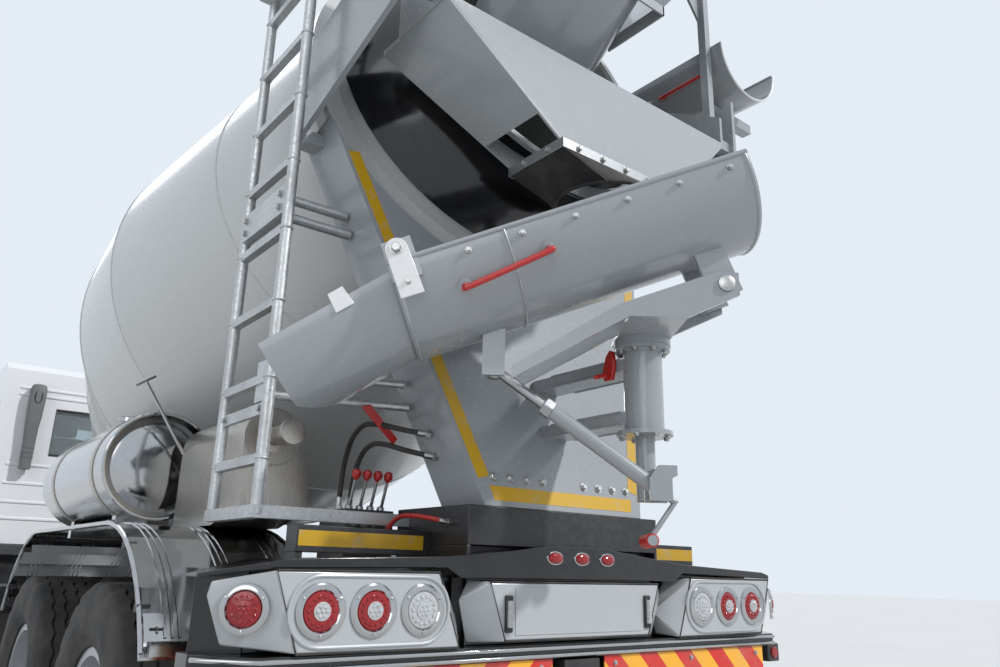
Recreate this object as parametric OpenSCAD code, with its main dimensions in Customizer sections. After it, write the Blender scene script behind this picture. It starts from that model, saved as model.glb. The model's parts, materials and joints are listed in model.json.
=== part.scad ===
// Concrete mixer truck, three axles, cab over the engine.
// X to the truck's right, Y forward, Z up, millimetres. Ground is z = 0.

/* [Chassis] */
// Overall width across the bumpers and mudguards
truck_w = 2490; // [2400:5:2550]
// Width across the outsides of the two frame rails
rail_span = 850; // [800:5:900]
// Height of a frame rail
rail_h = 270; // [220:5:320]
// Width of a rail's flange
rail_flange = 80; // [60:2:100]
// Thickness of a rail's web and flanges
rail_t = 9; // [6:1:14]
// Height of the rails' top face above the ground
rail_top = 1000; // [960:5:1040]
// Height of the subframe on the rails
subframe_h = 120; // [90:5:130]
// Rear end of the rails, measured back from the origin
rail_rear = 3540; // [3400:10:3600]
// Front end of the rails, measured forward from the origin
rail_front = 4180; // [4100:10:4230]

/* [Axles and wheels] */
// Outer radius of a tyre
tyre_r = 530; // [500:5:545]
// Width of a tyre
tyre_w = 304; // [280:2:315]
// Radius of the rim that the tyre sits on
rim_r = 292; // [280:1:300]
// Forward place of the steered axle
front_axle_y = 2900; // [2850:10:2950]
// Place of the first driven axle
drive_axle_y = -1060; // [-1100:10:-1020]
// Place of the second driven axle
last_axle_y = -2410; // [-2440:10:-2380]
// Distance of a front wheel's middle from the centre line
front_track_half = 1040; // [1020:5:1060]
// Distance of an outer twin tyre's middle from the centre line
twin_outer_x = 1094; // [1080:2:1100]
// Distance between the two tyres of a twin
twin_gap = 340; // [325:1:350]
// Distance of a kingpin from the centre line
kingpin_x = 860; // [840:5:880]
// Radius of a kingpin
kingpin_r = 24; // [20:1:28]

/* [Drum] */
// Inclination of the drum's axis above the level
drum_tilt = 16; // [14:0.5:17]
// Place of the drum's datum along the truck, at the plane of the rear pedestal
drum_y = -3100; // [-3140:5:-3060]
// Height of the drum's datum
drum_z = 3170; // [3140:5:3200]
// Largest outer radius of the drum
drum_r = 1170; // [1120:5:1180]
// Outer radius of the drum at the rear pedestal
drum_waist_r = 770; // [740:5:800]
// Outer radius of the drum's mouth
mouth_r = 565; // [540:5:590]
// Outer radius of the drum's front head
head_r = 750; // [700:10:800]
// Thickness of the drum's shell
drum_wall = 10; // [8:1:16]
// Outer radius of the track ring
ring_r = 880; // [860:5:890]
// Width of the track ring
ring_w = 96; // [80:2:110]
// Radius of a drum roller
roller_r = 115; // [105:1:120]
// Angle of each drum roller from straight below the axis
roller_angle = 33; // [30:1:34]

/* [Cab] */
// Width of the cab's shell
cab_w = 2300; // [2240:10:2360]
// Front face of the cab
cab_front = 4350; // [4330:5:4370]
// Rear face of the cab
cab_rear = 2420; // [2400:10:2440]
// Height of the cab's roof above the ground
cab_roof = 2840; // [2800:10:2880]
// Height of the underside of the cab's floor
cab_floor = 1270; // [1260:5:1290]
// Thickness of the cab's walls and doors
cab_wall = 46; // [40:1:60]
// Forward limit of the door's opening
door_front = 4010; // [3990:5:4030]
// Rear limit of the door's opening
door_rear = 3010; // [2990:5:3030]
// Gap round a closed door
door_gap = 6; // [5:1:9]

/* [Rear] */
// Half the width of the pedestal's foot
pedestal_foot = 376; // [350:2:400]
// Half the width of the pedestal at its upper corners
pedestal_top = 850; // [820:5:870]
// Depth of the pedestal's box section
pedestal_depth = 197; // [195:1:210]
// Thickness of the pedestal's plates
plate_t = 12; // [8:1:16]
// Radius of the pedestal's cradle, round the drum
cradle_r = 930; // [915:5:940]
// Distance of the ladder from the centre line
ladder_x = 1000; // [995:5:1020]
// Radius of the water tank
tank_r = 232; // [200:1:234]
// Length of the water tank
tank_len = 1250; // [1150:10:1260]

/* [Chutes] */
// Place of the swivel post along the truck
post_y = -3950; // [-3970:5:-3940]
// Direction of the stowed chute, anticlockwise from the truck's right
chute_yaw = 142.6; // [141:0.1:144]
// Distance of the chute's middle from the post's axis
chute_offset = 172; // [168:1:180]
// Slope of the stowed chute
chute_slope = 20.7; // [19:0.1:22]
// Outer radius of the chute's trough
chute_r = 235; // [225:1:236]
// Thickness of the chute's sheet
chute_t = 6; // [4:1:8]
// Length of the main chute
chute_len = 1160; // [1120:10:1180]
// Length of the fold-over extension chute
fold_len = 500; // [460:10:520]
// Height of the lower pivot of the chute's screw strut
strut_z = 1370; // [1350:5:1400]

/* [Hidden] */
$fn = 48;
fit = 0.05;
seat = 0.3;
rail_x = rail_span / 2;
deck_z = rail_top + subframe_h;
axle_z = tyre_r;
rear_axles = [drive_axle_y, last_axle_y];
side_sign = [-1, 1];
axis_to_tyre = twin_outer_x - twin_gap / 2;
bead = tyre_w * 0.36;

// Drum stations along its own axis, positive towards the mouth
mouth_s = 330;
wide_rear_s = -1850;
wide_front_s = -2450;
head_s = -3860;
dish = 120;
ring_s = -140;
plate_s = -50;
gear_len = 330;

// Frames
cab_pivot_y = 4260;
cab_pivot_z = 1010;
tilt_back = 215;
tilt_z = 2000;
chute_ear = 110;
chute_start = -180;
fold_tail = 60;
fold_drop = 12;
strut_eye = [500, 1730];
strut_len = norm([strut_eye[0], strut_eye[1] - strut_z]);
strut_rise = atan2(strut_eye[1] - strut_z, strut_eye[0]);
pin_r = 15;
eye_pin_r = 11;
eye_r = 22;
guard_top = 1270;
shaft_fall = 5;
hinge_out = 14;
door_hinge_z = [1560, 2250];

// Rear face of the pedestal's plate at a height
function pedestal_y(z, s = plate_s + plate_t) =
  drum_y + (z - drum_z - s * sin(drum_tilt)) * tan(drum_tilt) - s * cos(drum_tilt);
// Half the width of the pedestal at a place on its side
function pedestal_x(y, z) = let (h = (y - drum_y) * sin(drum_tilt) + (z - drum_z) * cos(drum_tilt))
  pedestal_foot + (pedestal_top - pedestal_foot) * (h + 1900) / 1520;

// The drum's own frame: Z along the axis to the mouth, Y square to it and upward
module in_drum() translate([0, drum_y, drum_z]) rotate([90 - drum_tilt, 0, 0]) children();

// The chute's frame: X down the chute in plan, Y towards the truck's rear left
module in_post() translate([0, post_y, 0]) rotate([0, 0, chute_yaw]) children();

// The frame of the stowed trough: origin on its axis over the tilt hinge, X down its slope
module in_chute() in_post() translate([-tilt_back, chute_offset, tilt_z]) rotate([0, chute_slope, 0])
  translate([0, 0, chute_r + chute_ear]) children();

// The strut's frame: origin at its lower pivot, X up to the rod's eye
module in_strut() in_post() translate([0, chute_offset, strut_z]) rotate([0, -strut_rise, 0]) children();

// A pin across the chute, centred on its middle plane
module cross_pin(r, half) rotate([90, 0, 0]) translate([0, 0, -half]) cylinder(r = r, h = 2 * half);

module both_sides() for (s = side_sign) scale_x(s) children();
module scale_x(s) if (s < 0) mirror([1, 0, 0]) children(); else children();

module box(x, y, z) translate([x[0], y[0], z[0]]) cube([x[1] - x[0], y[1] - y[0], z[1] - z[0]]);

module along_x(r, x, y, z) translate([x[0], y, z]) rotate([0, 90, 0]) cylinder(r = r, h = x[1] - x[0]);
module along_y(r, y, x, z) translate([x, y[1], z]) rotate([90, 0, 0]) cylinder(r = r, h = y[1] - y[0]);

// A plate whose outline lies in the Y Z plane, from x0 to x1
module side_plate(x0, x1) translate([x0, 0, 0]) rotate([90, 0, 90]) linear_extrude(x1 - x0) children();

module frame() color("dimgray") {
  both_sides() {
    difference() {
      box([rail_x - rail_flange, rail_x], [-rail_rear, rail_front], [rail_top - rail_h, rail_top]);
      box([rail_x - rail_flange - 1, rail_x - rail_t], [-rail_rear - 1, rail_front + 1],
        [rail_top - rail_h + rail_t, rail_top - rail_t]);
    }
    box([rail_x - rail_flange, rail_x], [-rail_rear, 1900], [rail_top, deck_z]);
    // Cab's rear support and the clevis of its hinge
    box([rail_x - rail_flange, rail_x], [2440, 2540], [rail_top, cab_floor - seat]);
    difference() {
      for (x = [300, 374]) side_plate(x, x + 26) polygon([[rail_front, rail_top - 120], [cab_pivot_y + 30, cab_pivot_z - 30],
        [cab_pivot_y + 30, cab_pivot_z + 22], [cab_pivot_y - 24, cab_pivot_z + 28], [rail_front, rail_top]]);
      along_x(20 + fit, [280, 420], cab_pivot_y, cab_pivot_z);
    }
  }
  // Rear cross beam and drawbar jaw
  difference() {
    union() {
      box([-rail_x, rail_x], [-rail_rear - 20, -rail_rear], [rail_top - rail_h - 40, deck_z]);
      box([-80, 80], [-rail_rear - 110, -rail_rear - 20], [rail_top - 205, rail_top - 145]);
    }
    translate([0, -rail_rear - 66, 0]) cylinder(r = 20, h = 2000);
  }
  // Front cross member with its towing eye
  difference() {
    union() {
      box([-rail_x, rail_x], [rail_front, rail_front + 20], [rail_top - rail_h, rail_top - 60]);
      box([225, 305], [rail_front + 20, rail_front + 110], [rail_top - rail_h + 20, rail_top - rail_h + 60]);
    }
    translate([265, rail_front + 66, 0]) cylinder(r = 20, h = 2000);
  }
}

module cross_members() color("dimgray") {
  x = rail_x - rail_t - seat;
  for (y = [-3300, -2850, -1735, -400, 400, 1200, 1560]) {
    box([-x, x], [y - 40, y + 40], [860, 970]);
    // Upright flanges bolted to the rails' webs
    for (s = side_sign) scale_x(s) box([x - 12, x], [y - 70, y + 70], [770, 970]);
  }
}

module powertrain() color("gray") {
  box([-320, 320], [2560, 3560], [690, 1230]);
  // Mounts on the rails
  both_sides() for (y = [2700, 3400]) box([300, rail_x], [y - 60, y + 60], [rail_top + seat, rail_top + 30]);
  // Clutch housing and gearbox
  translate([0, 2560, 860]) rotate([90, 0, 0]) cylinder(r1 = 230, r2 = 160, h = 260);
  box([-150, 150], [1700, 2301], [700, 1010]);
  // Propeller shafts
  translate([0, 1710, 800]) rotate([90 + shaft_fall, 0, 0]) cylinder(r = 45, h = 2530);
  along_y(45, [last_axle_y + 240 + seat, drive_axle_y - 200 - seat], 0, axle_z + 40);
}

module spring_pack(x, y, half, z, leaves) {
  for (i = [0:leaves - 1])
    box([x - 45, x + 45], [y - half + i * half / leaves, y + half - i * half / leaves], [z - i * 18 - 18, z - i * 18]);
}

module front_axle() color("dimgray") {
  difference() {
    union() {
      box([-560, 560], [front_axle_y - 55, front_axle_y + 55], [400, 500]);
      both_sides() {
        hull() {
          box([540, 560], [front_axle_y - 55, front_axle_y + 55], [400, 500]);
          box([700, 760], [front_axle_y - 45, front_axle_y + 45], [474, 590]);
        }
        box([759, kingpin_x], [front_axle_y - 45, front_axle_y + 45], [470, 590]);
        translate([kingpin_x, front_axle_y, 470]) cylinder(r = 52, h = 120);
      }
    }
    both_sides() translate([kingpin_x, front_axle_y, 400]) cylinder(r = kingpin_r + fit, h = 300);
  }
  both_sides() {
    box([330, 420], [front_axle_y - 800, front_axle_y + 800], [554, 572]);
    spring_pack(375, front_axle_y, 640, 554, 3);
    // Hangers up to the rail
    for (y = [-790, 790])
      box([350, 400], [front_axle_y + y - 30, front_axle_y + y + 30], [572, rail_top - rail_h]);
  }
}

module rear_axles_body() color("dimgray") {
  for (y = rear_axles) {
    along_x(75, [-560, 560], y, axle_z);
    translate([0, y, axle_z + 40]) sphere(r = 200);
    translate([0, y, axle_z + 40]) rotate([-90, 0, 0]) cylinder(r1 = 150, r2 = 80, h = 240);
    // Spindles that the hubs turn on
    along_x(60, [-(axis_to_tyre + 40), axis_to_tyre + 40], y, axle_z);
  }
  both_sides() {
    spring_pack(470, (drive_axle_y + last_axle_y) / 2, 720, axle_z + 165, 5);
    box([420, 520], [drive_axle_y - 60, drive_axle_y + 60], [axle_z + 60, axle_z + 147]);
    box([420, 520], [last_axle_y - 60, last_axle_y + 60], [axle_z + 60, axle_z + 147]);
    box([rail_x, rail_x + 96], [-1860, -1610], [axle_z + 165, rail_top - 60]);
    along_x(45, [-60, rail_x + 60], -1735, axle_z + 145);
  }
}

// A tyre's section, turned about the axle
module tyre(x) translate([x, 0, 0]) rotate([0, 90, 0]) rotate_extrude($fn = 64)
  polygon([[rim_r, -bead], [rim_r + 18, -bead], [rim_r + 18, -tyre_w * 0.42], [rim_r + 60, -tyre_w * 0.48],
    [rim_r + 120, -tyre_w / 2], [tyre_r - 60, -tyre_w * 0.49], [tyre_r - 18, -tyre_w * 0.46], [tyre_r, -tyre_w * 0.4],
    [tyre_r, tyre_w * 0.4], [tyre_r - 18, tyre_w * 0.46], [tyre_r - 60, tyre_w * 0.49], [rim_r + 120, tyre_w / 2],
    [rim_r + 60, tyre_w * 0.48], [rim_r + 18, tyre_w * 0.42], [rim_r + 18, bead], [rim_r, bead]]);

// A disc wheel: barrel, dished disc with hand holes, and its flange lips
module rim_turn(x) translate([x, 0, 0]) rotate([0, 90, 0]) rotate_extrude($fn = 64) children();

// Barrel with its flange lips; the tyre sits between them
module barrel(x) rim_turn(x) polygon([[rim_r - seat, -bead - seat], [rim_r + 16, -bead - seat], [rim_r + 16, -bead - 8],
  [rim_r - 14, -bead - 8], [rim_r - 14, bead + 8], [rim_r + 16, bead + 8], [rim_r + 16, bead + seat],
  [rim_r - seat, bead + seat]]);

// Dished disc between the barrel and the bolting face
module dish_disc(x, inner, outer) difference() {
  rim_turn(x) polygon([[0, inner], [170, inner], [236, outer], [rim_r - 13, outer], [rim_r - 13, outer + 12], [228, outer + 12],
    [166, inner + 14], [0, inner + 14]]);
  for (a = [0:36:359]) rotate([a, 0, 0]) translate([x + min(inner, outer) - 20, 205, 0]) rotate([0, 90, 0])
    cylinder(r = 24, h = abs(outer - inner) + 60);
}

module wheel_nuts(x) for (a = [0:36:359]) rotate([a + 18, 0, 0]) translate([x, 150, 0]) rotate([0, 90, 0])
  cylinder(r = 16, h = 26, $fn = 6);

module front_rim() {
  difference() {
    union() {
      barrel(0);
      dish_disc(0, 96, 40);
      // Hub cap and brake drum
      translate([-60, 0, 0]) rotate([0, 90, 0]) cylinder(r = 205, h = 110);
      translate([40, 0, 0]) rotate([0, 90, 0]) cylinder(r = 110, h = 130);
    }
    translate([-61, 0, 0]) rotate([0, 90, 0]) cylinder(r = 190, h = 90);
    translate([28, 0, 0]) rotate([0, 90, 0]) cylinder(r = 45 + fit, h = 62);
  }
  difference() {
    translate([-50, 0, 0]) rotate([0, 90, 0]) cylinder(r = 70, h = 81);
    translate([-61, 0, 0]) rotate([0, 90, 0]) cylinder(r = 45 + fit, h = 120);
  }
  wheel_nuts(108);
}

module twin_rims() {
  mid = -twin_gap / 2;
  difference() {
    union() {
      barrel(0);
      barrel(-twin_gap);
      // The two discs are bolted back to back
      dish_disc(0, mid, -bead + 20);
      dish_disc(-twin_gap, mid + twin_gap - 14, bead - 32);
      // Brake drum and hub
      translate([mid - 260, 0, 0]) rotate([0, 90, 0]) cylinder(r = 205, h = 250);
      translate([mid, 0, 0]) rotate([0, 90, 0]) cylinder(r = 130, h = 90);
      translate([mid, 0, 0]) rotate([0, 90, 0]) cylinder(r = 85, h = 190);
    }
    translate([mid - 261, 0, 0]) rotate([0, 90, 0]) cylinder(r = 190, h = 200);
    translate([mid - 90, 0, 0]) rotate([0, 90, 0]) cylinder(r = 60 + fit, h = 131);
  }
  wheel_nuts(mid + 13);
}

module at_front_wheel(s) scale_x(s) translate([front_track_half, front_axle_y, axle_z]) children();
module at_rear_wheel(s, y) scale_x(s) translate([twin_outer_x, y, axle_z]) children();

module knuckle() color("dimgray") translate([kingpin_x, front_axle_y, 0]) {
  // Kingpin, yoke and stub axle
  translate([0, 0, 430]) cylinder(r = kingpin_r, h = 200);
  for (z = [430, 591]) box([-50, 62], [-50, 50], [z, z + 39]);
  box([54, 100], [-80, 80], [430, 630]);
  translate([100, 0, axle_z]) rotate([0, 90, 0]) cylinder(r = 45, h = 130);
  // Steering arm with the track rod's eye
  difference() {
    union() {
      box([-eye_r, eye_r], [-300, -50], [436, 466]);
      translate([0, -300, 436]) cylinder(r = eye_r, h = 30);
    }
    translate([0, -300, 430]) cylinder(r = 12 + fit, h = 50);
  }
}

module track_rod() color("dimgray") {
  along_x(18, [-kingpin_x, kingpin_x], front_axle_y - 300, 400);
  both_sides() translate([kingpin_x, front_axle_y - 300, 0]) {
    translate([0, 0, 376]) cylinder(r = eye_r, h = 50);
    translate([0, 0, 376]) cylinder(r = 12, h = 94);
  }
}

module front_bumper() color("white") {
  difference() {
    box([-truck_w / 2 + 20, truck_w / 2 - 20], [4100, cab_front + 30], [430, 900]);
    box([-truck_w / 2 + 60, truck_w / 2 - 60], [4000, cab_front - 20], [400, 960]);
    both_sides() box([830, 1110], [cab_front - 30, cab_front + 40], [600, 760]);
    box([-400, 400], [cab_front - 30, cab_front + 40], [700, 860]);
  }
  // Step boxes ahead of the front wheels
  both_sides() {
    difference() {
      box([860, truck_w / 2 - 20], [3640, 4110], [430, 1180]);
      for (z = [560, 860]) box([980, truck_w / 2], [3690, 4060], [z, z + 240]);
    }
    box([rail_x, 870], [4040, 4110], [780, 900]);
  }
}

module rounded_box(x, y, z, r) hull() for (yy = [y[0] + r, y[1] - r], zz = [z[0] + r, z[1] - r])
  along_x(r, x, yy, zz);

module fuel_tank() color("silver") difference() {
  union() {
    rounded_box([rail_x + 60, 1180], [500, 1700], [480, 1080], 110);
    for (y = [700, 1450]) box([rail_x, rail_x + 120], [y, y + 60], [560, 940]);
    translate([1000, 640, 1040]) cylinder(r = 55, h = 80);
  }
  translate([1000, 640, 1090]) cylinder(r = 40, h = 40);
}

module battery_box() color("dimgray") both_sides_left() {
  box([rail_x + 60, 1160], [900, 1650], [520, 960]);
  box([rail_x, rail_x + 70], [1000, 1500], [740, 900]);
  for (y = [100, 460]) {
    along_y(120, [y, y + 320], 800, 700);
    box([rail_x, 720], [y + 130, y + 190], [760, 830]);
  }
}
module both_sides_left() mirror([1, 0, 0]) children();

module exhaust() color("gray") {
  translate([880, 2040, 560]) cylinder(r = 210, h = 560);
  along_x(50, [rail_x, 700], 2040, 820);
  translate([880, 2040, 1110]) cylinder(r = 55, h = 1400);
}

module mudguards() color("silver") both_sides() {
  x = [650, truck_w / 2];
  outer = guard_top - axle_z;
  difference() {
    union() {
      box(x, [last_axle_y, drive_axle_y], [900, guard_top]);
      for (y = rear_axles) intersection() {
        along_x(outer, x, y, axle_z);
        box(x, [last_axle_y - 660, drive_axle_y + 660], [axle_z + 60, guard_top]);
      }
    }
    box([x[0] - 1, x[1] + 1], [last_axle_y, drive_axle_y], [400, guard_top - 4]);
    for (y = rear_axles) along_x(outer - 4, [x[0] - 1, x[1] + 1], y, axle_z);
  }
  // Carrying arms at the ends and between the axles
  for (y = [last_axle_y - 694, drive_axle_y + 660]) box([rail_x, x[1] - 20], [y, y + 34], [865, 905]);
  middle = (last_axle_y + drive_axle_y) / 2;
  box([rail_x, rail_x + 12], [middle - 25, middle + 25], [1040, guard_top - 4]);
  box([rail_x, x[1] - 20], [middle - 25, middle + 25], [guard_top - 44, guard_top - 4]);
}

module rear_bumper() color("black") {
  difference() {
    translate([0, 0, 860]) linear_extrude(350) polygon([[-truck_w / 2, -3480], [-1090, -3650], [1090, -3650],
      [truck_w / 2, -3480], [truck_w / 2, -3340], [-truck_w / 2, -3340]]);
    both_sides() box([500, 1300], [-3700, -3300], [1110, 1300]);
    translate([0, 0, 800]) linear_extrude(380) polygon([[-truck_w / 2 + 60, -3455], [-1075, -3600], [1075, -3600],
      [truck_w / 2 - 60, -3455], [truck_w / 2 - 60, -3300], [-truck_w / 2 + 60, -3300]]);
    box([-rail_x - 5, rail_x + 5], [-3560, -3300], [1100, 1300]);
  }
  both_sides() box([rail_x - 60, rail_x], [-3600, -rail_rear - 20], [900, 990]);
}

module pedestal_edge(inset = 0) polygon([[-pedestal_foot + inset, -1900 + inset], [-pedestal_top + inset, -380],
  [pedestal_top - inset, -380], [pedestal_foot - inset, -1900 + inset]]);

module pedestal_outline() difference() {
  pedestal_edge();
  circle(r = cradle_r, $fn = 96);
}

roller_dist = ring_r + roller_r + seat;
module at_rollers(s) in_drum() rotate([0, 0, s * roller_angle]) translate([0, -roller_dist, ring_s]) children();

module rear_pedestal() color("darkgray") {
  in_drum() {
    for (z = [plate_s, plate_s - pedestal_depth]) translate([0, 0, z]) linear_extrude(plate_t) pedestal_outline();
    translate([0, 0, plate_s - pedestal_depth]) linear_extrude(pedestal_depth) difference() {
      pedestal_outline();
      translate([0, 1, 0]) pedestal_edge(plate_t);
    }
  }
  // Bearing blocks of the two rollers, on the plates
  for (s = side_sign) at_rollers(s) difference() {
    for (z = [plate_s - ring_s - 30, plate_s - ring_s - pedestal_depth + plate_t]) translate([-60, -60, z]) cube([120, 110, 30]);
    translate([0, 0, -200]) cylinder(r = 30 + fit, h = 400);
  }
  // Sleeve of the swivel post, on two brackets
  difference() {
    union() {
      translate([0, post_y, 1560]) cylinder(r = 65, h = 300);
      for (z = [1560, 1846]) translate([0, post_y, z]) cylinder(r = 92, h = 14);
      for (z = [1600, 1780]) box([-60, 60], [post_y, pedestal_y(z + 20)], [z, z + 40]);
    }
    translate([0, post_y, 1500]) cylinder(r = 32 + fit, h = 500);
  }
  // Base box on the subframe
  box([-rail_x, rail_x], [-3550, -3180], [deck_z, deck_z + 205]);
}

module roller(s) color("gray") at_rollers(s) {
  translate([0, 0, -ring_w / 2 - 8]) cylinder(r = roller_r, h = ring_w + 16);
  translate([0, 0, plate_s - ring_s - pedestal_depth + plate_t + 1]) cylinder(r = 30, h = pedestal_depth - plate_t - 2);
}

module front_pedestal() color("darkgray") {
  in_drum() {
    translate([0, 0, head_s - dish - 60 - gear_len]) difference() {
      union() {
        cylinder(r = 230, h = gear_len);
        cylinder(r = 300, h = 60);
      }
      translate([0, 0, gear_len - 80]) cylinder(r = 80 + fit, h = 90);
    }
    // Bracket plate behind the gearbox's flange
    translate([-400, -560, head_s - dish - 60 - gear_len - 25]) cube([800, 860, 25.5]);
  }
  both_sides() side_plate(330, 350) polygon([[600, deck_z], [1300, deck_z], [1180, 2180], [1090, 2180], [880, 1500]]);
  box([-rail_x, rail_x], [600, 1300], [deck_z, deck_z + 20]);
}

module drum() color("gainsboro") in_drum() {
  rotate_extrude($fn = 96) polygon([[mouth_r, mouth_s], [drum_waist_r, 0], [drum_r, wide_rear_s], [drum_r, wide_front_s],
    [head_r, head_s], [200, head_s - dish], [0, head_s - dish], [0, head_s - dish + drum_wall],
    [200, head_s - dish + drum_wall], [head_r - drum_wall, head_s + drum_wall],
    [drum_r - drum_wall, wide_front_s], [drum_r - drum_wall, wide_rear_s], [drum_waist_r - drum_wall, 0],
    [mouth_r - drum_wall, mouth_s]]);
  rotate_extrude($fn = 96) polygon([[drum_waist_r - 5, ring_s - ring_w / 2], [ring_r, ring_s - ring_w / 2],
    [ring_r, ring_s + ring_w / 2], [drum_waist_r - 5, ring_s + ring_w / 2]]);
  rotate_extrude($fn = 96) translate([mouth_r - 5, mouth_s - 20]) square([25, 20]);
  // Output shaft into the gearbox
  translate([0, 0, head_s - dish - 60 - 70]) cylinder(r = 80, h = 135);
}

module hopper() color("darkgray") {
  // Receiving funnel
  difference() {
    hull() {
      box([-620, 620], [-4160, -3380], [3900, 3920]);
      box([-330, 330], [-3840, -3520], [3480, 3500]);
    }
    hull() {
      box([-612, 612], [-4152, -3388], [3901, 3940]);
      box([-322, 322], [-3832, -3528], [3470, 3481]);
    }
  }
  // Tongue that leads into the drum's mouth
  difference() {
    translate([0, -3800, 3520]) rotate([90 + 38, 0, 0]) rotate([0, 0, 0]) mirror([0, 0, 1]) difference() {
      cylinder(r = 320, h = 560);
      translate([0, 0, -1]) cylinder(r = 312, h = 562);
    }
    box([-400, 400], [-4400, -3000], [3481, 4400]);
  }
  // Arms from the pedestal's upper corners to the collector
  both_sides() {
    side_plate(905, 925) polygon([[-2990, 2690], [-2990, 3070], [-3760, 3300], [-3760, 2940]]);
    box([764, 906], [-3740, -3690], [3030, 3080]);
    box([pedestal_x(-3010, 2740) + seat, 906], [-3090, -3010], [2690, 2740]);
    // Posts that carry the funnel
    box([764, 800], [-3740, -3700], [3080, 3900]);
    box([612, 800], [-3740, -3700], [3880, 3910]);
  }
}

module collector() color("darkgray") {
  difference() {
    hull() {
      box([-756, 756], [-3800, -3380], [2980, 3000]);
      box([-310, 310], [-3890, -3610], [2560, 2580]);
    }
    hull() {
      box([-748, 748], [-3792, -3388], [2981, 3010]);
      box([-302, 302], [-3882, -3618], [2550, 2561]);
    }
    // Saddle that clears the turning drum
    in_drum() translate([0, 0, -200]) cylinder(r1 = drum_waist_r + 110, r2 = mouth_r + 20, h = mouth_s + 220);
  }
  both_sides() side_plate(748, 764) polygon([[-3800, 2980], [-3500, 2980], [-3500, 3300], [-3800, 3130]]);
}

module chute_rack() color("dimgray") {
  for (y = [-3650, -3250]) box([925, 1230], [y, y + 50], [3300, 3350]);
  box([925, 965], [-3700, -2950], [3260, 3300]);
  box([925, 965], [-3300, -3000], [3050, 3262]);
}

module trough(r, t, len) rotate([0, 90, 0]) difference() {
  cylinder(r = r, h = len, $fn = 64);
  translate([0, 0, -1]) cylinder(r = r - t, h = len + 2, $fn = 64);
  translate([-r * 2, -r * 2, -1]) cube([r * 2, r * 4, len + 2]);
}

module spare_chute() color("darkgray") translate([1020, -3800, 3350 + chute_r - 20 + seat]) rotate([0, 0, 90])
  trough(chute_r - 20, chute_t, 800);

module ladder() color("silver") {
  for (y = [-3230, -2840]) translate([-ladder_x, y, 1290]) cylinder(r = 20, h = 2130);
  for (i = [0:7]) box([-ladder_x - 15, -ladder_x + 15], [-3230, -2840], [1440 + i * 265, 1470 + i * 265]);
  // Foot bar and its arm to the pedestal's base
  box([-ladder_x - 20, -ladder_x + 20], [-3250, -2820], [1270 + seat, 1310]);
  box([-ladder_x, -rail_x], [-3250, -3210], [1270 + seat, 1310]);
  // Upper arms to the pedestal's side
  for (z = [2330, 2400]) along_x(18, [-ladder_x, -pedestal_x(-3132, z + 18) - seat], -3150, z);
  box([-ladder_x - 18, -ladder_x + 18], [-3230, -2840], [2310, 2420]);
  // Platform
  box([-ladder_x - 60, -ladder_x + 70], [-3250, -2820], [3420, 3450]);
}

module water_tank() color("silver") {
  along_y(tank_r, [-2100, -2100 + tank_len], -990, 1530);
  for (y = [-1950, -1150]) box([-1100, -880], [y, y + 60], [guard_top + seat, 1340]);
}

module side_tank() color("silver") hull() {
  along_y(110, [-2850, -2150], -810, 1590);
  box([-920, -650], [-2600, -2150], [guard_top + seat, 1400]);
  box([-920, -650], [-2850, -2600], [1330, 1400]);
}

module valve_block() color("gray") box([-620, -rail_x - seat], [-3100, -2900], [1040, 1330]);

module cab_outline(grow = 0) polygon([[cab_rear - grow, cab_floor - grow], [cab_rear - grow, cab_roof - 60 + grow],
  [cab_rear + 60, cab_roof + grow], [cab_front - 330, cab_roof + grow], [cab_front - 190 + grow, cab_roof - 140 + grow],
  [cab_front + grow, 1900], [cab_front + grow, cab_floor - grow]]);

module door_outline(grow = 0) polygon([[door_rear - grow, cab_floor + 20 - grow], [door_rear - grow, cab_roof - 190 + grow],
  [door_front - 60 + grow, cab_roof - 190 + grow], [door_front + grow, 2050], [door_front + grow, cab_floor + 20 - grow]]);

module door_window(grow = 0) polygon([[door_rear + 90 - grow, 1960 - grow], [door_rear + 90 - grow, cab_roof - 260 + grow],
  [door_front - 130 + grow, cab_roof - 260 + grow], [door_front - 80 + grow, 2080], [door_front - 80 + grow, 1960 - grow]]);

module cab_shell() color("white") {
  difference() {
    side_plate(-cab_w / 2, cab_w / 2) cab_outline();
    side_plate(-cab_w / 2 + cab_wall, cab_w / 2 - cab_wall) cab_outline(-cab_wall);
    // Door openings on both sides
    side_plate(-cab_w, cab_w) door_outline(door_gap);
    // Windscreen and rear window
    box([-cab_w / 2 + 110, cab_w / 2 - 110], [cab_front - 240, cab_front + 50], [1960, 2560]);
    box([-700, 700], [cab_rear - 10, cab_rear + 60], [2050, 2450]);
  }
  // Front panel below the floor
  box([-cab_w / 2, cab_w / 2], [cab_front - cab_wall, cab_front], [1010, cab_floor]);
  both_sides() {
    // Hinge lugs with their pins
    side_plate(328, 372) polygon([[cab_pivot_y - 40, cab_floor], [cab_front - 20, cab_floor], [cab_pivot_y + 30, cab_pivot_z - 25],
      [cab_pivot_y - 25, cab_pivot_z - 25]]);
    along_x(20, [298, 402], cab_pivot_y, cab_pivot_z);
    // Door hinges
    for (z = door_hinge_z) {
      for (dz = [-45, 15]) translate([cab_w / 2 + hinge_out, door_front - 1, z + dz]) cylinder(r = 12, h = 30);
      translate([cab_w / 2 + hinge_out, door_front - 1, z - 45]) cylinder(r = 6, h = 90);
      for (dz = [-45, 15]) {
        box([cab_w / 2, cab_w / 2 + 10], [door_front + 8, door_front + 34], [z + dz, z + dz + 30]);
        box([cab_w / 2 + 4, cab_w / 2 + 14], [door_front, door_front + 30], [z + dz, z + dz + 30]);
      }
    }
  }
}

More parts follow.
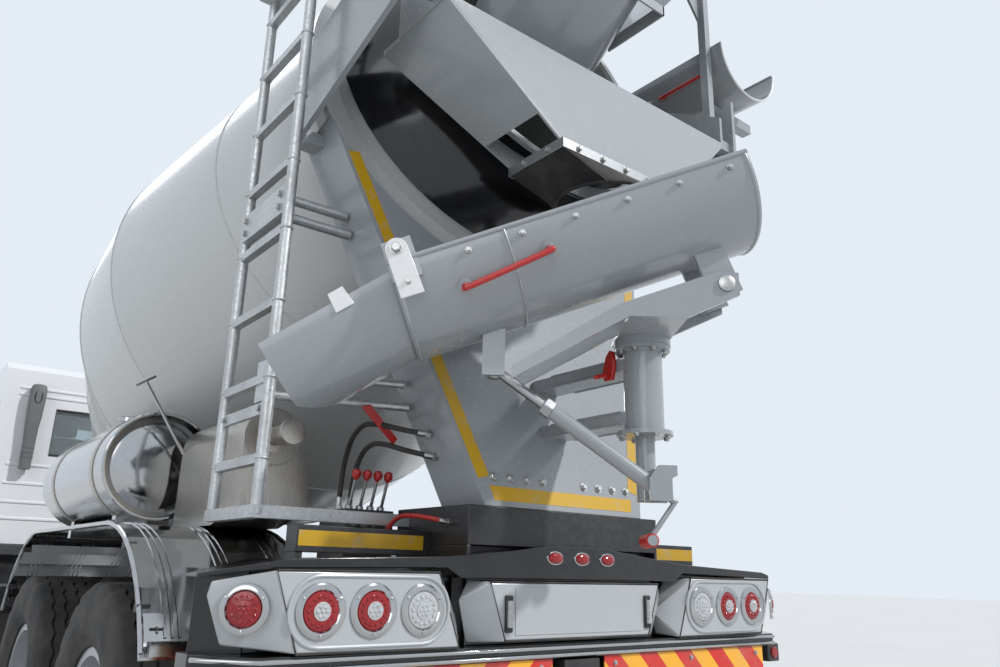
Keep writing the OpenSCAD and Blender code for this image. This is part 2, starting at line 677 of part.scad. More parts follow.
module cab_glass() color("lightblue") {
  box([-cab_w / 2 + 110 + seat, cab_w / 2 - 110 - seat], [cab_front - 120, cab_front - 112], [1960 + seat, 2560 - seat]);
  box([-700 + seat, 700 - seat], [cab_rear + 20, cab_rear + 26], [2050 + seat, 2450 - seat]);
}

module cab_interior() color("dimgray") {
  both_sides() {
    box([350, 850], [2700, 3200], [cab_floor + cab_wall + seat, 1700]);
    box([350, 850], [2600, 2720], [1690, 2350]);
  }
  box([-cab_w / 2 + 100, cab_w / 2 - 100], [3900, cab_front - cab_wall - seat], [1500, 1900]);
}

module air_intake() color("gray") {
  box([-950, -820], [cab_rear - 130, cab_rear - seat], [1900, 2650]);
}

module door(s) color("white") scale_x(s) {
  difference() {
    side_plate(cab_w / 2 - cab_wall, cab_w / 2) door_outline();
    side_plate(cab_w / 2 - cab_wall - 1, cab_w / 2 + 1) door_window();
  }
  for (z = door_hinge_z) difference() {
    union() {
      translate([cab_w / 2 + hinge_out, door_front - 1, z - 14]) cylinder(r = 12, h = 28);
      box([cab_w / 2 + 4, cab_w / 2 + 14], [door_front - 32, door_front - 2], [z - 14, z + 14]);
      box([cab_w / 2, cab_w / 2 + 10], [door_front - 36, door_front - 10], [z - 14, z + 14]);
    }
    translate([cab_w / 2 + hinge_out, door_front - 1, z - 50]) cylinder(r = 6 + fit, h = 100);
  }
}

module door_glass(s) color("lightblue") scale_x(s) side_plate(cab_w / 2 - 28, cab_w / 2 - 22) door_window(-seat);

module post_plate(y0, y1) translate([0, y1, 0]) rotate([90, 0, 0]) linear_extrude(y1 - y0) children();

module chute_post() color("darkgray") in_post() {
  // Shaft in the fixed sleeve, with its head flange
  translate([0, 0, strut_z - 20]) cylinder(r = 32, h = 1875 - strut_z + 20);
  translate([0, 0, 1860 + seat]) cylinder(r = 95, h = 26);
  // Tapered beam plates from the head to the tilt hinge
  difference() {
    for (y = [chute_offset - 102, chute_offset + 88]) post_plate(y, y + 14)
      polygon([[-tilt_back - 40, tilt_z + 38], [-tilt_back + 30, tilt_z + 38], [120, 1925], [450, 1720],
        [450, 1680], [90, 1886], [-90, 1886], [-tilt_back - 40, tilt_z - 36]]);
    translate([-tilt_back, chute_offset, tilt_z]) cross_pin(pin_r + fit, 300);
  }
  translate([-90, chute_offset - 260, 1886]) cube([180, 362, 14]);
  // Cheeks of the strut's lower pivot
  difference() {
    union() {
      for (y = [chute_offset - 44, chute_offset + 32]) post_plate(y, y + 12)
        polygon([[-34, strut_z - 34], [34, strut_z - 34], [34, strut_z + 30], [5, strut_z + 70], [-50, strut_z + 70],
          [-34, strut_z + 30]]);
      translate([-50, 0, strut_z + 40]) cube([55, chute_offset + 44, 30]);
    }
    translate([0, chute_offset, strut_z]) cross_pin(pin_r + fit, 100);
  }
}

module chute_main() color("darkgray") {
  in_chute() {
    translate([chute_start, 0, 0]) trough(chute_r, chute_t, chute_len);
    // Rolled rims
    for (s = side_sign) translate([chute_start, s * (chute_r - 2), 4]) rotate([0, 90, 0]) cylinder(r = 9, h = chute_len);
    // Ears and pins at the lower end, which carry the fold-over extension
    for (s = side_sign) {
      translate([chute_start + chute_len - 90, s * chute_r - 3, -60]) cube([90, 6, 130]);
      translate([chute_start + chute_len - 40, s * (chute_r - 12), 40]) cross_pin(10, 18);
    }
    // Hinge ears under the trough, with the pin
    translate([0, 0, -chute_r - chute_ear]) {
      for (s = side_sign) translate([-50, s * 76 - 6, -30]) cube([100, 12, chute_ear + 60]);
      cross_pin(pin_r, 104);
    }
  }
  // Lugs and pin of the strut's eye
  in_post() translate([strut_eye[0], chute_offset, strut_eye[1]]) {
    for (s = side_sign) translate([-30, s * 27 - 5, -24]) cube([70, 10, 150]);
    cross_pin(eye_pin_r, 30);
  }
}

module chute_fold() color("darkgray") in_chute() translate([chute_start + chute_len - 40, 0, 40]) rotate([0, fold_drop, 0]) {
  difference() {
    translate([-20, 0, -40]) trough(chute_r - 25, chute_t, fold_len);
    // The free end is cut on the slant, so that it swings past the ladder
    translate([0, 0, -400]) linear_extrude(800) polygon([[320, -400], [320, -100], [fold_len - 20, 100],
      [fold_len, 400], [fold_len + 200, 400], [fold_len + 200, -400]]);
  }
  for (s = side_sign) difference() {
    translate([-24, s * (chute_r - 28) - 3, -60]) cube([50, 6, 84]);
    translate([0, s * (chute_r - 28), 0]) cross_pin(10 + fit, 20);
  }
}

module strut_tube() color("darkgray") in_strut() {
  difference() {
    union() {
      cross_pin(30, 30);
      translate([20, 0, 0]) rotate([0, 90, 0]) cylinder(r = 24, h = 410);
      cross_pin(pin_r, 44);
      // Crank at the lower end
      translate([-60, 0, 0]) rotate([0, 90, 0]) cylinder(r = 10, h = 35);
    }
    translate([80, 0, 0]) rotate([0, 90, 0]) cylinder(r = 15 + fit, h = 400);
  }
  translate([-60, 0, 8]) rotate([0, 180, 0]) cylinder(r = 8, h = 150);
  translate([-60, 0, -140]) cross_pin(15, 60);
}

module strut_rod() color("silver") in_strut() difference() {
  union() {
    translate([220, 0, 0]) rotate([0, 90, 0]) cylinder(r = 15, h = strut_len - 240);
    translate([strut_len, 0, 0]) cross_pin(30, 18);
  }
  translate([strut_len, 0, 0]) cross_pin(eye_pin_r + 7, 100);
}

frame();
cross_members();
powertrain();
front_axle();
rear_axles_body();  // rear_axles
front_bumper();
fuel_tank();
battery_box();
exhaust();
mudguards();
rear_bumper();
rear_pedestal();
front_pedestal();
hopper();
collector();
chute_rack();
spare_chute();
ladder();
water_tank();
side_tank();
valve_block();
cab_shell();
cab_glass();
cab_interior();
air_intake();
door(-1);  // door_left
door(1);  // door_right
door_glass(-1);  // door_glass_left
door_glass(1);  // door_glass_right
scale_x(-1) knuckle();  // knuckle_left
knuckle();  // knuckle_right
track_rod();
color("black") at_front_wheel(-1) tyre(0);  // tyre_front_left
color("black") at_front_wheel(1) tyre(0);  // tyre_front_right
color("silver") at_front_wheel(-1) front_rim();  // rim_front_left
color("silver") at_front_wheel(1) front_rim();  // rim_front_right
twin_tyres(-1, drive_axle_y);  // tyres_drive_left
twin_tyres(1, drive_axle_y);  // tyres_drive_right
color("silver") at_rear_wheel(-1, drive_axle_y) twin_rims();  // rims_drive_left
color("silver") at_rear_wheel(1, drive_axle_y) twin_rims();  // rims_drive_right
twin_tyres(-1, last_axle_y);  // tyres_last_left
twin_tyres(1, last_axle_y);  // tyres_last_right
color("silver") at_rear_wheel(-1, last_axle_y) twin_rims();  // rims_last_left
color("silver") at_rear_wheel(1, last_axle_y) twin_rims();  // rims_last_right
drum();
roller(-1);  // roller_left
roller(1);  // roller_right
chute_post();
chute_main();
chute_fold();
strut_tube();
strut_rod();

module twin_tyres(s, y) color("black") at_rear_wheel(s, y) {
  tyre(0);
  tyre(-twin_gap);
}
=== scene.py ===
import json
from math import atan2, copysign, cos, degrees, exp, pi, radians, sin

import bmesh
import bpy
from mathutils import Matrix, Vector


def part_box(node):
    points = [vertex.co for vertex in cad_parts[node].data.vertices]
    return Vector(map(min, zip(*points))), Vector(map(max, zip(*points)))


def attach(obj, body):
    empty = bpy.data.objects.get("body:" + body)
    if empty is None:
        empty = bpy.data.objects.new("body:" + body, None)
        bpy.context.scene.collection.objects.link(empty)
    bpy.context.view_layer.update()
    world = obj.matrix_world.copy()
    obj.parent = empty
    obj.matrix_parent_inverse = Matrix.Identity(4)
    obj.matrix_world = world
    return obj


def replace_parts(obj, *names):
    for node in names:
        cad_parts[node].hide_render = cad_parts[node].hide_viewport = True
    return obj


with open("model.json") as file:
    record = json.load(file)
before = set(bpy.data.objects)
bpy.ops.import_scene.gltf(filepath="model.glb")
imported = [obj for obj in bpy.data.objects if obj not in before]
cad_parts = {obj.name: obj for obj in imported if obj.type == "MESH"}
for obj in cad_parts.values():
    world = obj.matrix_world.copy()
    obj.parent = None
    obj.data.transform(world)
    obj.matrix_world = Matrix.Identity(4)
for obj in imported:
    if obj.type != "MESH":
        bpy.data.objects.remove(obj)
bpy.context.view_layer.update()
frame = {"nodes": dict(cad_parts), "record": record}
V = Vector
SIDES = (-1, 1)
UP = (0, 0, 1)
DOWN = (0, 0, -1)
AHEAD = (0, 1, 0)
REAR = V((0, -1, 0))

# Camera at the photograph's place
CAM_AT = (-1.983, -5.677, 1.123)
CAM_RIGHT = (0.7799, -0.6255, 0.0215)
CAM_UP = (-0.1968, -0.2125, 0.9572)
CAM_AHEAD = (0.5942, 0.7507, 0.2889)
LENS = 28.52


def link_new(name, data):
    obj = bpy.data.objects.new(name, data)
    bpy.context.scene.collection.objects.link(obj)
    return obj


def make_camera():
    cam = link_new("camera", bpy.data.cameras.new("camera"))
    cam.data.sensor_width = 36
    cam.data.lens = LENS
    cam.data.clip_end = 200
    turn = Matrix((CAM_RIGHT, CAM_UP, [-a for a in CAM_AHEAD])).transposed()
    cam.matrix_world = Matrix.Translation(CAM_AT) @ turn.to_4x4()
    bpy.context.scene.camera = cam


# Node trees and materials
class Nodes:
    def __init__(self, tree):
        self.t = tree

    def node(self, kind, **props):
        n = self.t.nodes.new(kind)
        for key, value in props.items():
            setattr(n, key, value)
        return n

    def link(self, a, b):
        self.t.links.new(a, b)

    def put(self, socket, value):
        if hasattr(value, "is_output"):
            self.link(value, socket)
        else:
            socket.default_value = value

    def math(self, op, a, b):
        n = self.node("ShaderNodeMath", operation=op)
        self.put(n.inputs[0], a)
        self.put(n.inputs[1], b)
        return n.outputs[0]

    def mix(self, fac, a, b):
        n = self.node("ShaderNodeMix", data_type="RGBA")
        for k, value in ((0, fac), (6, a), (7, b)):
            self.put(n.inputs[k], value)
        return n.outputs[2]


class Mat(Nodes):
    def __init__(self, name):
        self.m = bpy.data.materials.new(name)
        self.m.use_nodes = True
        super().__init__(self.m.node_tree)
        self.b = self.t.nodes["Principled BSDF"]
        self.pos = self.node("ShaderNodeTexCoord").outputs["Object"]

    def set(self, **values):
        for key, value in values.items():
            self.put(self.b.inputs[key.replace("_", " ")], value)

    def stretched(self, scale):
        n = self.node("ShaderNodeMapping")
        n.inputs["Scale"].default_value = scale
        self.link(self.pos, n.inputs["Vector"])
        return n.outputs[0]

    def noise(self, scale, detail, at=None):
        n = self.node("ShaderNodeTexNoise")
        n.inputs["Scale"].default_value = scale
        n.inputs["Detail"].default_value = detail
        n.inputs["Roughness"].default_value = 0.55
        self.link(at or self.pos, n.inputs["Vector"])
        return n.outputs["Fac"]

    def cells(self, scale, feature="F1", out="Distance", at=None):
        n = self.node("ShaderNodeTexVoronoi", feature=feature)
        n.inputs["Scale"].default_value = scale
        self.link(at or self.pos, n.inputs["Vector"])
        return n.outputs[out]

    def span(self, value, low, high, to_low=0.0, to_high=1.0):
        n = self.node("ShaderNodeMapRange")
        self.put(n.inputs["Value"], value)
        for key, v in zip(("From Min", "From Max", "To Min", "To Max"), (low, high, to_low, to_high)):
            n.inputs[key].default_value = v
        return n.outputs[0]

    def bump(self, *layers):
        normal = None
        for height, strength, distance in layers:
            n = self.node("ShaderNodeBump")
            n.inputs["Strength"].default_value = strength
            n.inputs["Distance"].default_value = distance
            self.link(height, n.inputs["Height"])
            if normal:
                self.link(normal, n.inputs["Normal"])
            normal = n.outputs[0]
        self.link(normal, self.b.inputs["Normal"])


def rgb(color, part=1.0):
    """A colour, or a darker part of it, with full alpha."""
    return (*[c * part for c in color], 1.0)


def painted(name, color, rough, peel=0.12, *, dust, coat=0.35, tint=(0.36, 0.33, 0.29)):
    m = Mat(name)
    broad = m.noise(1.3, 4)
    fine = m.noise(38, 5)
    worn = m.span(m.math("MULTIPLY", broad, fine), 0.22, 0.46, 0.0, dust)
    shade = m.mix(m.span(broad, 0.3, 0.7), rgb(color, 0.93), rgb(color))
    m.set(Roughness=m.span(fine, 0.3, 0.7, rough * 0.94, rough * 1.08), Coat_Weight=coat, Coat_Roughness=0.12)
    m.set(Base_Color=m.mix(worn, shade, rgb(tint)))
    m.bump((m.noise(210, 2), peel, 0.0006), (broad, 0.05, 0.01))
    return m.m


def metal(name, color, rough, grain, grain_size=60.0, dirt=0.2, strength=0.12):
    m = Mat(name)
    lines = m.noise(grain_size, 4, m.stretched(grain))
    broad = m.noise(3.0, 4)
    grime = m.span(m.math("MULTIPLY", broad, m.noise(24, 5)), 0.24, 0.5, 0.0, dirt)
    shade = m.mix(lines, rgb(color, 0.86), rgb(color))
    m.set(Base_Color=m.mix(grime, shade, rgb((0.23, 0.2, 0.17))), Metallic=1.0)
    m.set(Roughness=m.span(lines, 0.25, 0.75, rough * 0.7, rough * 1.4))
    m.bump((lines, strength, 0.0008))
    return m.m


def plastic(name, color, rough, grain=260.0, dust=0.2):
    m = Mat(name)
    fine = m.noise(grain, 3)
    broad = m.noise(4.0, 5)
    worn = m.span(broad, 0.42, 0.72, 0.0, dust)
    m.set(Base_Color=m.mix(worn, rgb(color), rgb((0.3, 0.28, 0.25))))
    m.set(Roughness=m.span(fine, 0.3, 0.7, rough * 0.8, rough * 1.2))
    m.bump((fine, 0.2, 0.0007))
    return m.m


def galvanised(name):
    m = Mat(name)
    spangle = m.cells(130, out="Color")
    flake = m.node("ShaderNodeSeparateColor")
    m.link(spangle, flake.inputs[0])
    broad = m.noise(5, 5)
    color = m.mix(flake.outputs[0], rgb((0.5, 0.515, 0.52)), rgb((0.6, 0.615, 0.62)))
    m.set(Base_Color=m.mix(m.span(broad, 0.4, 0.7, 0.0, 0.5), color, rgb((0.33, 0.32, 0.3))), Metallic=0.85)
    m.set(Roughness=m.span(flake.outputs[1], 0, 1, 0.32, 0.58))
    m.bump((broad, 0.1, 0.002))
    return m.m


def rubber(name, color=(0.022, 0.022, 0.023)):
    m = Mat(name)
    broad = m.noise(7, 6)
    fine = m.noise(320, 4)
    dusty = m.span(broad, 0.38, 0.68, 0.05, 0.55)
    m.set(Base_Color=m.mix(dusty, rgb(color), rgb((0.105, 0.094, 0.08))))
    m.set(Roughness=m.span(fine, 0.3, 0.7, 0.68, 0.9))
    m.bump((fine, 0.35, 0.0008), (broad, 0.15, 0.003))
    return m.m


def glass(name, tint):
    m = Mat(name)
    dirt = m.span(m.noise(9, 6), 0.45, 0.75, 0.0, 0.25)
    m.set(Base_Color=m.mix(dirt, rgb(tint), rgb((0.5, 0.48, 0.44))), Transmission_Weight=0.85, IOR=1.45)
    m.set(Roughness=m.span(dirt, 0, 0.25, 0.02, 0.18))
    return m.m


def lens(name, color, clear):
    m = Mat(name)
    prism = m.cells(130, "F1", at=m.stretched((1, 0.02, 1)))
    m.set(Base_Color=m.mix(m.span(prism, 0.1, 0.6), rgb(color, 0.75), rgb(color)))
    m.set(Roughness=m.span(m.noise(30, 4), 0.3, 0.7, 0.05, 0.14), Transmission_Weight=clear, IOR=1.49)
    m.set(Coat_Weight=0.4, Coat_Roughness=0.05)
    m.bump((prism, 0.35, 0.0015))
    return m.m


def chevrons(name, red, yellow):
    """Slanted red and yellow stripes that mirror about the truck's middle."""
    m = Mat(name)
    axes = m.node("ShaderNodeSeparateXYZ")
    m.link(m.pos, axes.inputs[0])
    across = m.math("ABSOLUTE", axes.outputs[0], 0.0)
    slant = m.math("ADD", across, axes.outputs[2])
    stripe = m.math("FRACT", m.math("MULTIPLY", slant, 5.2), 0.0)
    edge = m.span(stripe, 0.49, 0.51)
    cell = m.span(m.cells(900, "F1"), 0.2, 0.7)
    color = m.mix(edge, rgb(red), rgb(yellow))
    dust = m.span(m.noise(6, 5), 0.45, 0.75, 0.0, 0.25)
    m.set(Base_Color=m.mix(dust, color, rgb((0.35, 0.3, 0.25))), Roughness=m.span(cell, 0, 1, 0.22, 0.34))
    m.bump((cell, 0.15, 0.0004))
    return m.m


def foil(name, color):
    """Reflective tape with a fine honeycomb."""
    m = Mat(name)
    cell = m.cells(420, "DISTANCE_TO_EDGE")
    comb = m.span(cell, 0.02, 0.09)
    wear = m.span(m.noise(22, 5), 0.55, 0.75, 0.0, 0.45)
    shade = m.mix(comb, rgb(color, 0.8), rgb(color))
    m.set(Base_Color=m.mix(wear, shade, rgb((0.42, 0.4, 0.36))), Roughness=m.span(comb, 0, 1, 0.45, 0.25))
    m.bump((comb, 0.2, 0.0003))
    return m.m


def cloth(name, color):
    m = Mat(name)
    warp = m.noise(700, 1, m.stretched((1, 9, 1)))
    weft = m.noise(700, 1, m.stretched((9, 1, 1)))
    weave = m.math("MULTIPLY", warp, weft)
    m.set(Base_Color=m.mix(m.span(weave, 0.15, 0.4), rgb(color, 0.6), rgb(color)))
    m.set(Roughness=m.span(weave, 0.1, 0.5, 0.8, 0.95), Sheen_Weight=0.3)
    m.bump((weave, 0.5, 0.0008))
    return m.m


def looks(*made):
    """Materials by their plain names: Blender adds .001 where the loaded model holds the name too."""
    return {material.name.split(".")[0]: material for material in made}


SLOTS = looks(
    painted("chassis_black", (0.013, 0.013, 0.015), 0.4, dust=0.07, coat=0.15),
    plastic("engine_grey", (0.13, 0.135, 0.14), 0.6, grain=90, dust=0.3),
    painted("cab_white", (0.76, 0.77, 0.78), 0.2, 0.05, dust=0.05, coat=0.7, tint=(0.5, 0.47, 0.42)),
    metal("aluminium", (0.6, 0.61, 0.62), 0.3, (1, 20, 1)),
    plastic("plastic_black", (0.018, 0.018, 0.02), 0.5, dust=0.12),
    metal("steel", (0.4, 0.41, 0.42), 0.35, (1, 1, 14)),
    metal("polished_steel", (0.5, 0.505, 0.51), 0.11, (1, 18, 1), 34, 0.08, 0.04),
    painted("gloss_black", (0.005, 0.005, 0.006), 0.14, 0.04, dust=0.04, coat=0.3),
    painted("mixer_grey", (0.31, 0.33, 0.345), 0.26, 0.05, dust=0.05, coat=0.6),
    galvanised("galvanised"),
    metal("brushed_steel", (0.5, 0.47, 0.43), 0.3, (30, 30, 1), 10, 0.03),
    plastic("cast_dark", (0.04, 0.043, 0.046), 0.5, grain=120, dust=0.25),
    glass("glass", (0.72, 0.8, 0.82)),
    plastic("interior", (0.05, 0.052, 0.056), 0.7, grain=400),
    plastic("plastic_grey", (0.12, 0.125, 0.13), 0.55, dust=0.12),
    painted("drum_white", (0.56, 0.57, 0.56), 0.26, 0.04, dust=0.03, coat=0.6),
    rubber("tyre"),
    painted("rim", (0.42, 0.43, 0.45), 0.35, 0.2, dust=0.25, coat=0.3),
)
TRIM = looks(
    rubber("rubber_black", (0.014, 0.014, 0.015)),
    chevrons("marker_board", (0.62, 0.02, 0.012), (0.9, 0.42, 0.02)),
    painted("housing_grey", (0.42, 0.44, 0.45), 0.3, 0.1, dust=0.08, coat=0.5),
    lens("red_lens", (0.3, 0.002, 0.005), 0.0),
    lens("clear_lens", (0.82, 0.84, 0.85), 0.45),
    lens("amber_lens", (0.85, 0.28, 0.01), 0.2),
    metal("chrome", (0.5, 0.505, 0.51), 0.08, (1, 1, 1), 20, 0.05, 0.02),
    metal("mirror", (0.9, 0.91, 0.92), 0.03, (1, 1, 1), 8, 0.02, 0.0),
    metal("zinc", (0.5, 0.5, 0.49), 0.32, (1, 1, 1), 90, 0.2),
    painted("red_paint", (0.5, 0.012, 0.01), 0.3, 0.08, dust=0.1),
    painted("white_paint", (0.72, 0.73, 0.73), 0.3, 0.08, dust=0.1),
    foil("tape_yellow", (0.62, 0.36, 0.01)),
    rubber("hose_black", (0.018, 0.018, 0.019)),
    plastic("hose_red", (0.45, 0.015, 0.012), 0.45, dust=0.15),
    cloth("seat_cloth", (0.09, 0.095, 0.105)),
)


def dress_nodes():
    for part in frame["record"]["subparts"]:
        node = frame["nodes"][part["node"]]
        node.data.materials.clear()
        node.data.materials.append(SLOTS[part["material_slot"]])


# Mesh kit: a Shape gathers closed solids in one piece
def turn_about(axis, angle):
    return Matrix.Rotation(radians(angle), 4, axis)


def shift(x, y, z):
    return Matrix.Translation((x, y, z))


def basis(axis):
    """Two directions square to an axis."""
    w = V(axis).normalized()
    u = w.cross(V(UP) if abs(w.z) < 0.9 else V((1, 0, 0))).normalized()
    return u, w.cross(u)


def turns(count):
    """Angles of a full turn in equal steps."""
    return [2 * pi * k / count for k in range(count)]


def polar(r, t, z=0.0):
    """The point at radius r, angle t and height z about the Z axis."""
    return V((r * cos(t), r * sin(t), z))


def circle(at, axis, r, sides):
    u, v = basis(axis)
    return [V(at) + u * (r * cos(t)) + v * (r * sin(t)) for t in turns(sides)]


def arc(center, r, first, last, steps, plane=(1, 2), fixed=0.0):
    """Points on an arc in a coordinate plane, angles in degrees from its first axis."""
    points = []
    for k in range(steps + 1):
        t = radians(first + (last - first) * k / steps)
        p = [fixed] * 3
        p[plane[0]] = center[0] + r * cos(t)
        p[plane[1]] = center[1] + r * sin(t)
        points.append(V(p))
    return points


def rounded(at, half, power, t):
    """A point on a rounded rectangle with these half sizes, at angle t of its turn."""
    c, d = cos(t), sin(t)
    return at[0] + half[0] * copysign(abs(c) ** power, c), at[1] + half[1] * copysign(abs(d) ** power, d)


def mirrored(half):
    """A closed outline from its right half, listed from the middle round to the middle."""
    return list(half) + [(-x, y) for x, y in reversed(half)]


def flat(outline, level, axis=1):
    """An outline of number pairs as points in the plane that lies at this level along one axis."""
    points = [list(p) for p in outline]
    for p in points:
        p.insert(axis, level)
    return points


def smooth_path(points, steps):
    """A curve through the points."""
    pts = [V(p) for p in points]
    path = []
    for k in range(len(pts) - 1):
        a, b = pts[k], pts[k + 1]
        before = pts[k - 1] if k else a * 2 - b
        after = pts[k + 2] if k + 2 < len(pts) else b * 2 - a
        for i in range(steps):
            t = i / steps
            path.append(
                0.5 * (2 * a + (b - before) * t + (2 * before - 5 * a + 4 * b - after) * t * t
                       + (3 * a - before - 3 * b + after) * t ** 3)
            )
    return path + [pts[-1]]


def from_bmesh(name, bm):
    mesh = bpy.data.meshes.new(name)
    bm.to_mesh(mesh)
    bm.free()
    return link_new(name, mesh)


class Shape:
    def __init__(self, name, look, body="root", place=None):
        self.name = name
        self.body = body
        self.look = look
        self.place = place or Matrix()
        self.verts = []
        self.faces = []

    def add(self, points):
        first = len(self.verts)
        self.verts += [self.place @ V(p) for p in points]
        return list(range(first, first + len(points)))

    def loft(self, rings, closed=False):
        """Skins rings of equally many points. A closed loft joins its last ring to the first."""
        ids = [self.add(ring) for ring in rings]
        pairs = list(zip(ids, ids[1:] + ids[:1])) if closed else list(zip(ids, ids[1:]))
        for one, two in pairs:
            for k in range(len(one)):
                n = (k + 1) % len(one)
                self.faces.append((one[k], one[n], two[n], two[k]))
        if not closed:
            self.faces.append(tuple(reversed(ids[0])))
            self.faces.append(tuple(ids[-1]))

    def box(self, x, y, z):
        """A box between pairs of coordinates; those of x may come in either order."""
        x = sorted(x)
        low = [(x[0], y[0], z[0]), (x[1], y[0], z[0]), (x[1], y[1], z[0]), (x[0], y[1], z[0])]
        self.loft([low, [(p[0], p[1], z[1]) for p in low]])

    def boxes(self, x, y, z):
        """A box on each side of the middle, with x for the right one."""
        for s in SIDES:
            self.box([s * a for a in x], y, z)

    def prism(self, points, along):
        self.loft([points, [V(p) + V(along) for p in points]])

    def rod(self, a, b, r, r_end=None, sides=16):
        axis = V(b) - V(a)
        self.loft([circle(a, axis, r, sides), circle(b, axis, r if r_end is None else r_end, sides)])

    def lathe(self, profile, at, axis, sides):
        """profile is (radius, height) pairs, heights along the axis from at."""
        w = V(axis).normalized()
        self.loft([circle(V(at) + w * h, w, r, sides) for r, h in profile])

    def ring(self, at, axis, big, small, sides, tube):
        u, v = basis(axis)
        w = V(axis).normalized()
        rings = []
        for t in turns(sides):
            out = u * cos(t) + v * sin(t)
            rings.append([V(at) + out * (big + small * cos(a)) + w * (small * sin(a)) for a in turns(tube)])
        self.loft(rings, closed=True)

    def pipe(self, points, r, sides, closed=False):
        pts = [V(p) for p in points]
        count = len(pts)
        normal = None
        rings = []
        for k in range(count):
            ahead = pts[(k + 1) % count] if closed or k + 1 < count else pts[k]
            behind = pts[k - 1] if closed or k else pts[k]
            way = (ahead - behind).normalized()
            if normal is None:
                normal = basis(way)[0]
            normal = (normal - way * normal.dot(way)).normalized()
            other = way.cross(normal)
            rings.append([pts[k] + normal * (r * cos(a)) + other * (r * sin(a)) for a in turns(sides)])
        self.loft(rings, closed=closed)

    def bolt(self, at, axis, r):
        """Washer and hex head that stand on a face, axis pointing out of it."""
        w = V(axis).normalized()
        self.lathe([(r * 1.3, -0.002), (r * 1.3, r * 0.25)], at, axis, 14)
        heads = [(r, r * 0.25), (r, r * 0.95), (r * 0.8, r * 1.1)]
        self.loft([circle(V(at) + w * h, w, size, 6) for size, h in heads])

    def bare(self):
        bm = bmesh.new()
        verts = [bm.verts.new(p) for p in self.verts]
        for face in self.faces:
            bm.faces.new([verts[k] for k in face])
        bmesh.ops.recalc_face_normals(bm, faces=bm.faces)
        return from_bmesh(self.name, bm)

    def done(self, bevel=0.0, angle=35):
        return dress(self.bare(), self.name, self.body, self.look, bevel, angle)


def hull(points):
    """A bare convex object round the points."""
    bm = bmesh.new()
    for p in points:
        bm.verts.new(p)
    made = bmesh.ops.convex_hull(bm, input=bm.verts)
    bmesh.ops.delete(bm, geom=[g for g in made["geom_interior"] if g.is_valid], context="VERTS")
    bmesh.ops.dissolve_limit(bm, angle_limit=radians(1), verts=bm.verts, edges=bm.edges)
    return from_bmesh("hull", bm)


def finish(*shapes, bevel=0.0):
    for shape in shapes:
        shape.done(bevel)


def dress(obj, name, body, look, bevel, angle):
    """Names a bare object, gives it its finish and edges, and lets it ride."""
    obj.name = name
    mesh = obj.data
    mesh.shade_smooth()
    mesh.set_sharp_from_angle(angle=radians(angle))
    mesh.materials.clear()
    mesh.materials.append(SLOTS.get(look) or TRIM[look])
    if bevel:
        mod = obj.modifiers.new("bevel", "BEVEL")
        mod.width = bevel
        mod.segments = 2
        mod.limit_method = "ANGLE"
        mod.angle_limit = radians(angle)
    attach(obj, body)
    return obj


# Frames that repeat the CAD's own places, in metres and degrees
DRUM_AT = (0, -3.1, 3.17)
DRUM_TILT = 16
POST_AT = (0, -3.95, 0)
CHUTE_YAW = 142.6
CHUTE_OFFSET = 0.172
CHUTE_SLOPE = 20.7
CHUTE_R = 0.235
CHUTE_EAR = 0.11
CHUTE_ENDS = (-0.1715, 0.971)
CHUTE_BAND_X = 0.62
CHUTE_HANDLE = ((0.782, 0.202, -0.12), (0.512, 0.215, -0.094))
TILT_AT = (-0.215, 2.0)
FOLD_AT = (0.94, 0.04)
FOLD_DROP = 12
STRUT_Z = 1.37
STRUT_EYE = (0.5, 1.73)
IN_DRUM = shift(*DRUM_AT) @ turn_about("X", 90 - DRUM_TILT)
IN_POST = shift(*POST_AT) @ turn_about("Z", CHUTE_YAW)
IN_CHUTE = (
    IN_POST @ shift(TILT_AT[0], CHUTE_OFFSET, TILT_AT[1]) @ turn_about("Y", CHUTE_SLOPE)
    @ shift(0, 0, CHUTE_R + CHUTE_EAR)
)
IN_FOLD = IN_CHUTE @ shift(FOLD_AT[0], 0, FOLD_AT[1]) @ turn_about("Y", FOLD_DROP)
STRUT_RISE = degrees(atan2(STRUT_EYE[1] - STRUT_Z, STRUT_EYE[0]))
IN_STRUT = IN_POST @ shift(0, CHUTE_OFFSET, STRUT_Z) @ turn_about("Y", -STRUT_RISE)


# Hydraulic hoses between the valve block and the pedestal
HOSES = (
    ("hose_black_upper", "hose_black", 0.019, (
        (-0.6, -3.0, 1.33), (-0.6, -3.006, 1.4), (-0.603, -3.03, 1.5), (-0.612, -3.095, 1.582),
        (-0.62, -3.19, 1.615), (-0.612, -3.285, 1.605), (-0.58, -3.35, 1.588), (-0.532, -3.383, 1.578),
        (-0.479, -3.39, 1.575))),
    ("hose_black_lower", "hose_black", 0.019, (
        (-0.555, -3.0, 1.33), (-0.555, -3.006, 1.392), (-0.558, -3.032, 1.47), (-0.566, -3.095, 1.532),
        (-0.576, -3.18, 1.552), (-0.574, -3.265, 1.543), (-0.55, -3.335, 1.522), (-0.505, -3.38, 1.507),
        (-0.447, -3.39, 1.5))),
    ("hose_red", "hose_red", 0.016, (
        (-0.5, -3.1, 1.24), (-0.505, -3.16, 1.244), (-0.522, -3.23, 1.262), (-0.542, -3.3, 1.284),
        (-0.553, -3.37, 1.296), (-0.545, -3.43, 1.295), (-0.517, -3.477, 1.288), (-0.482, -3.497, 1.28),
        (-0.45, -3.5, 1.275))),
)


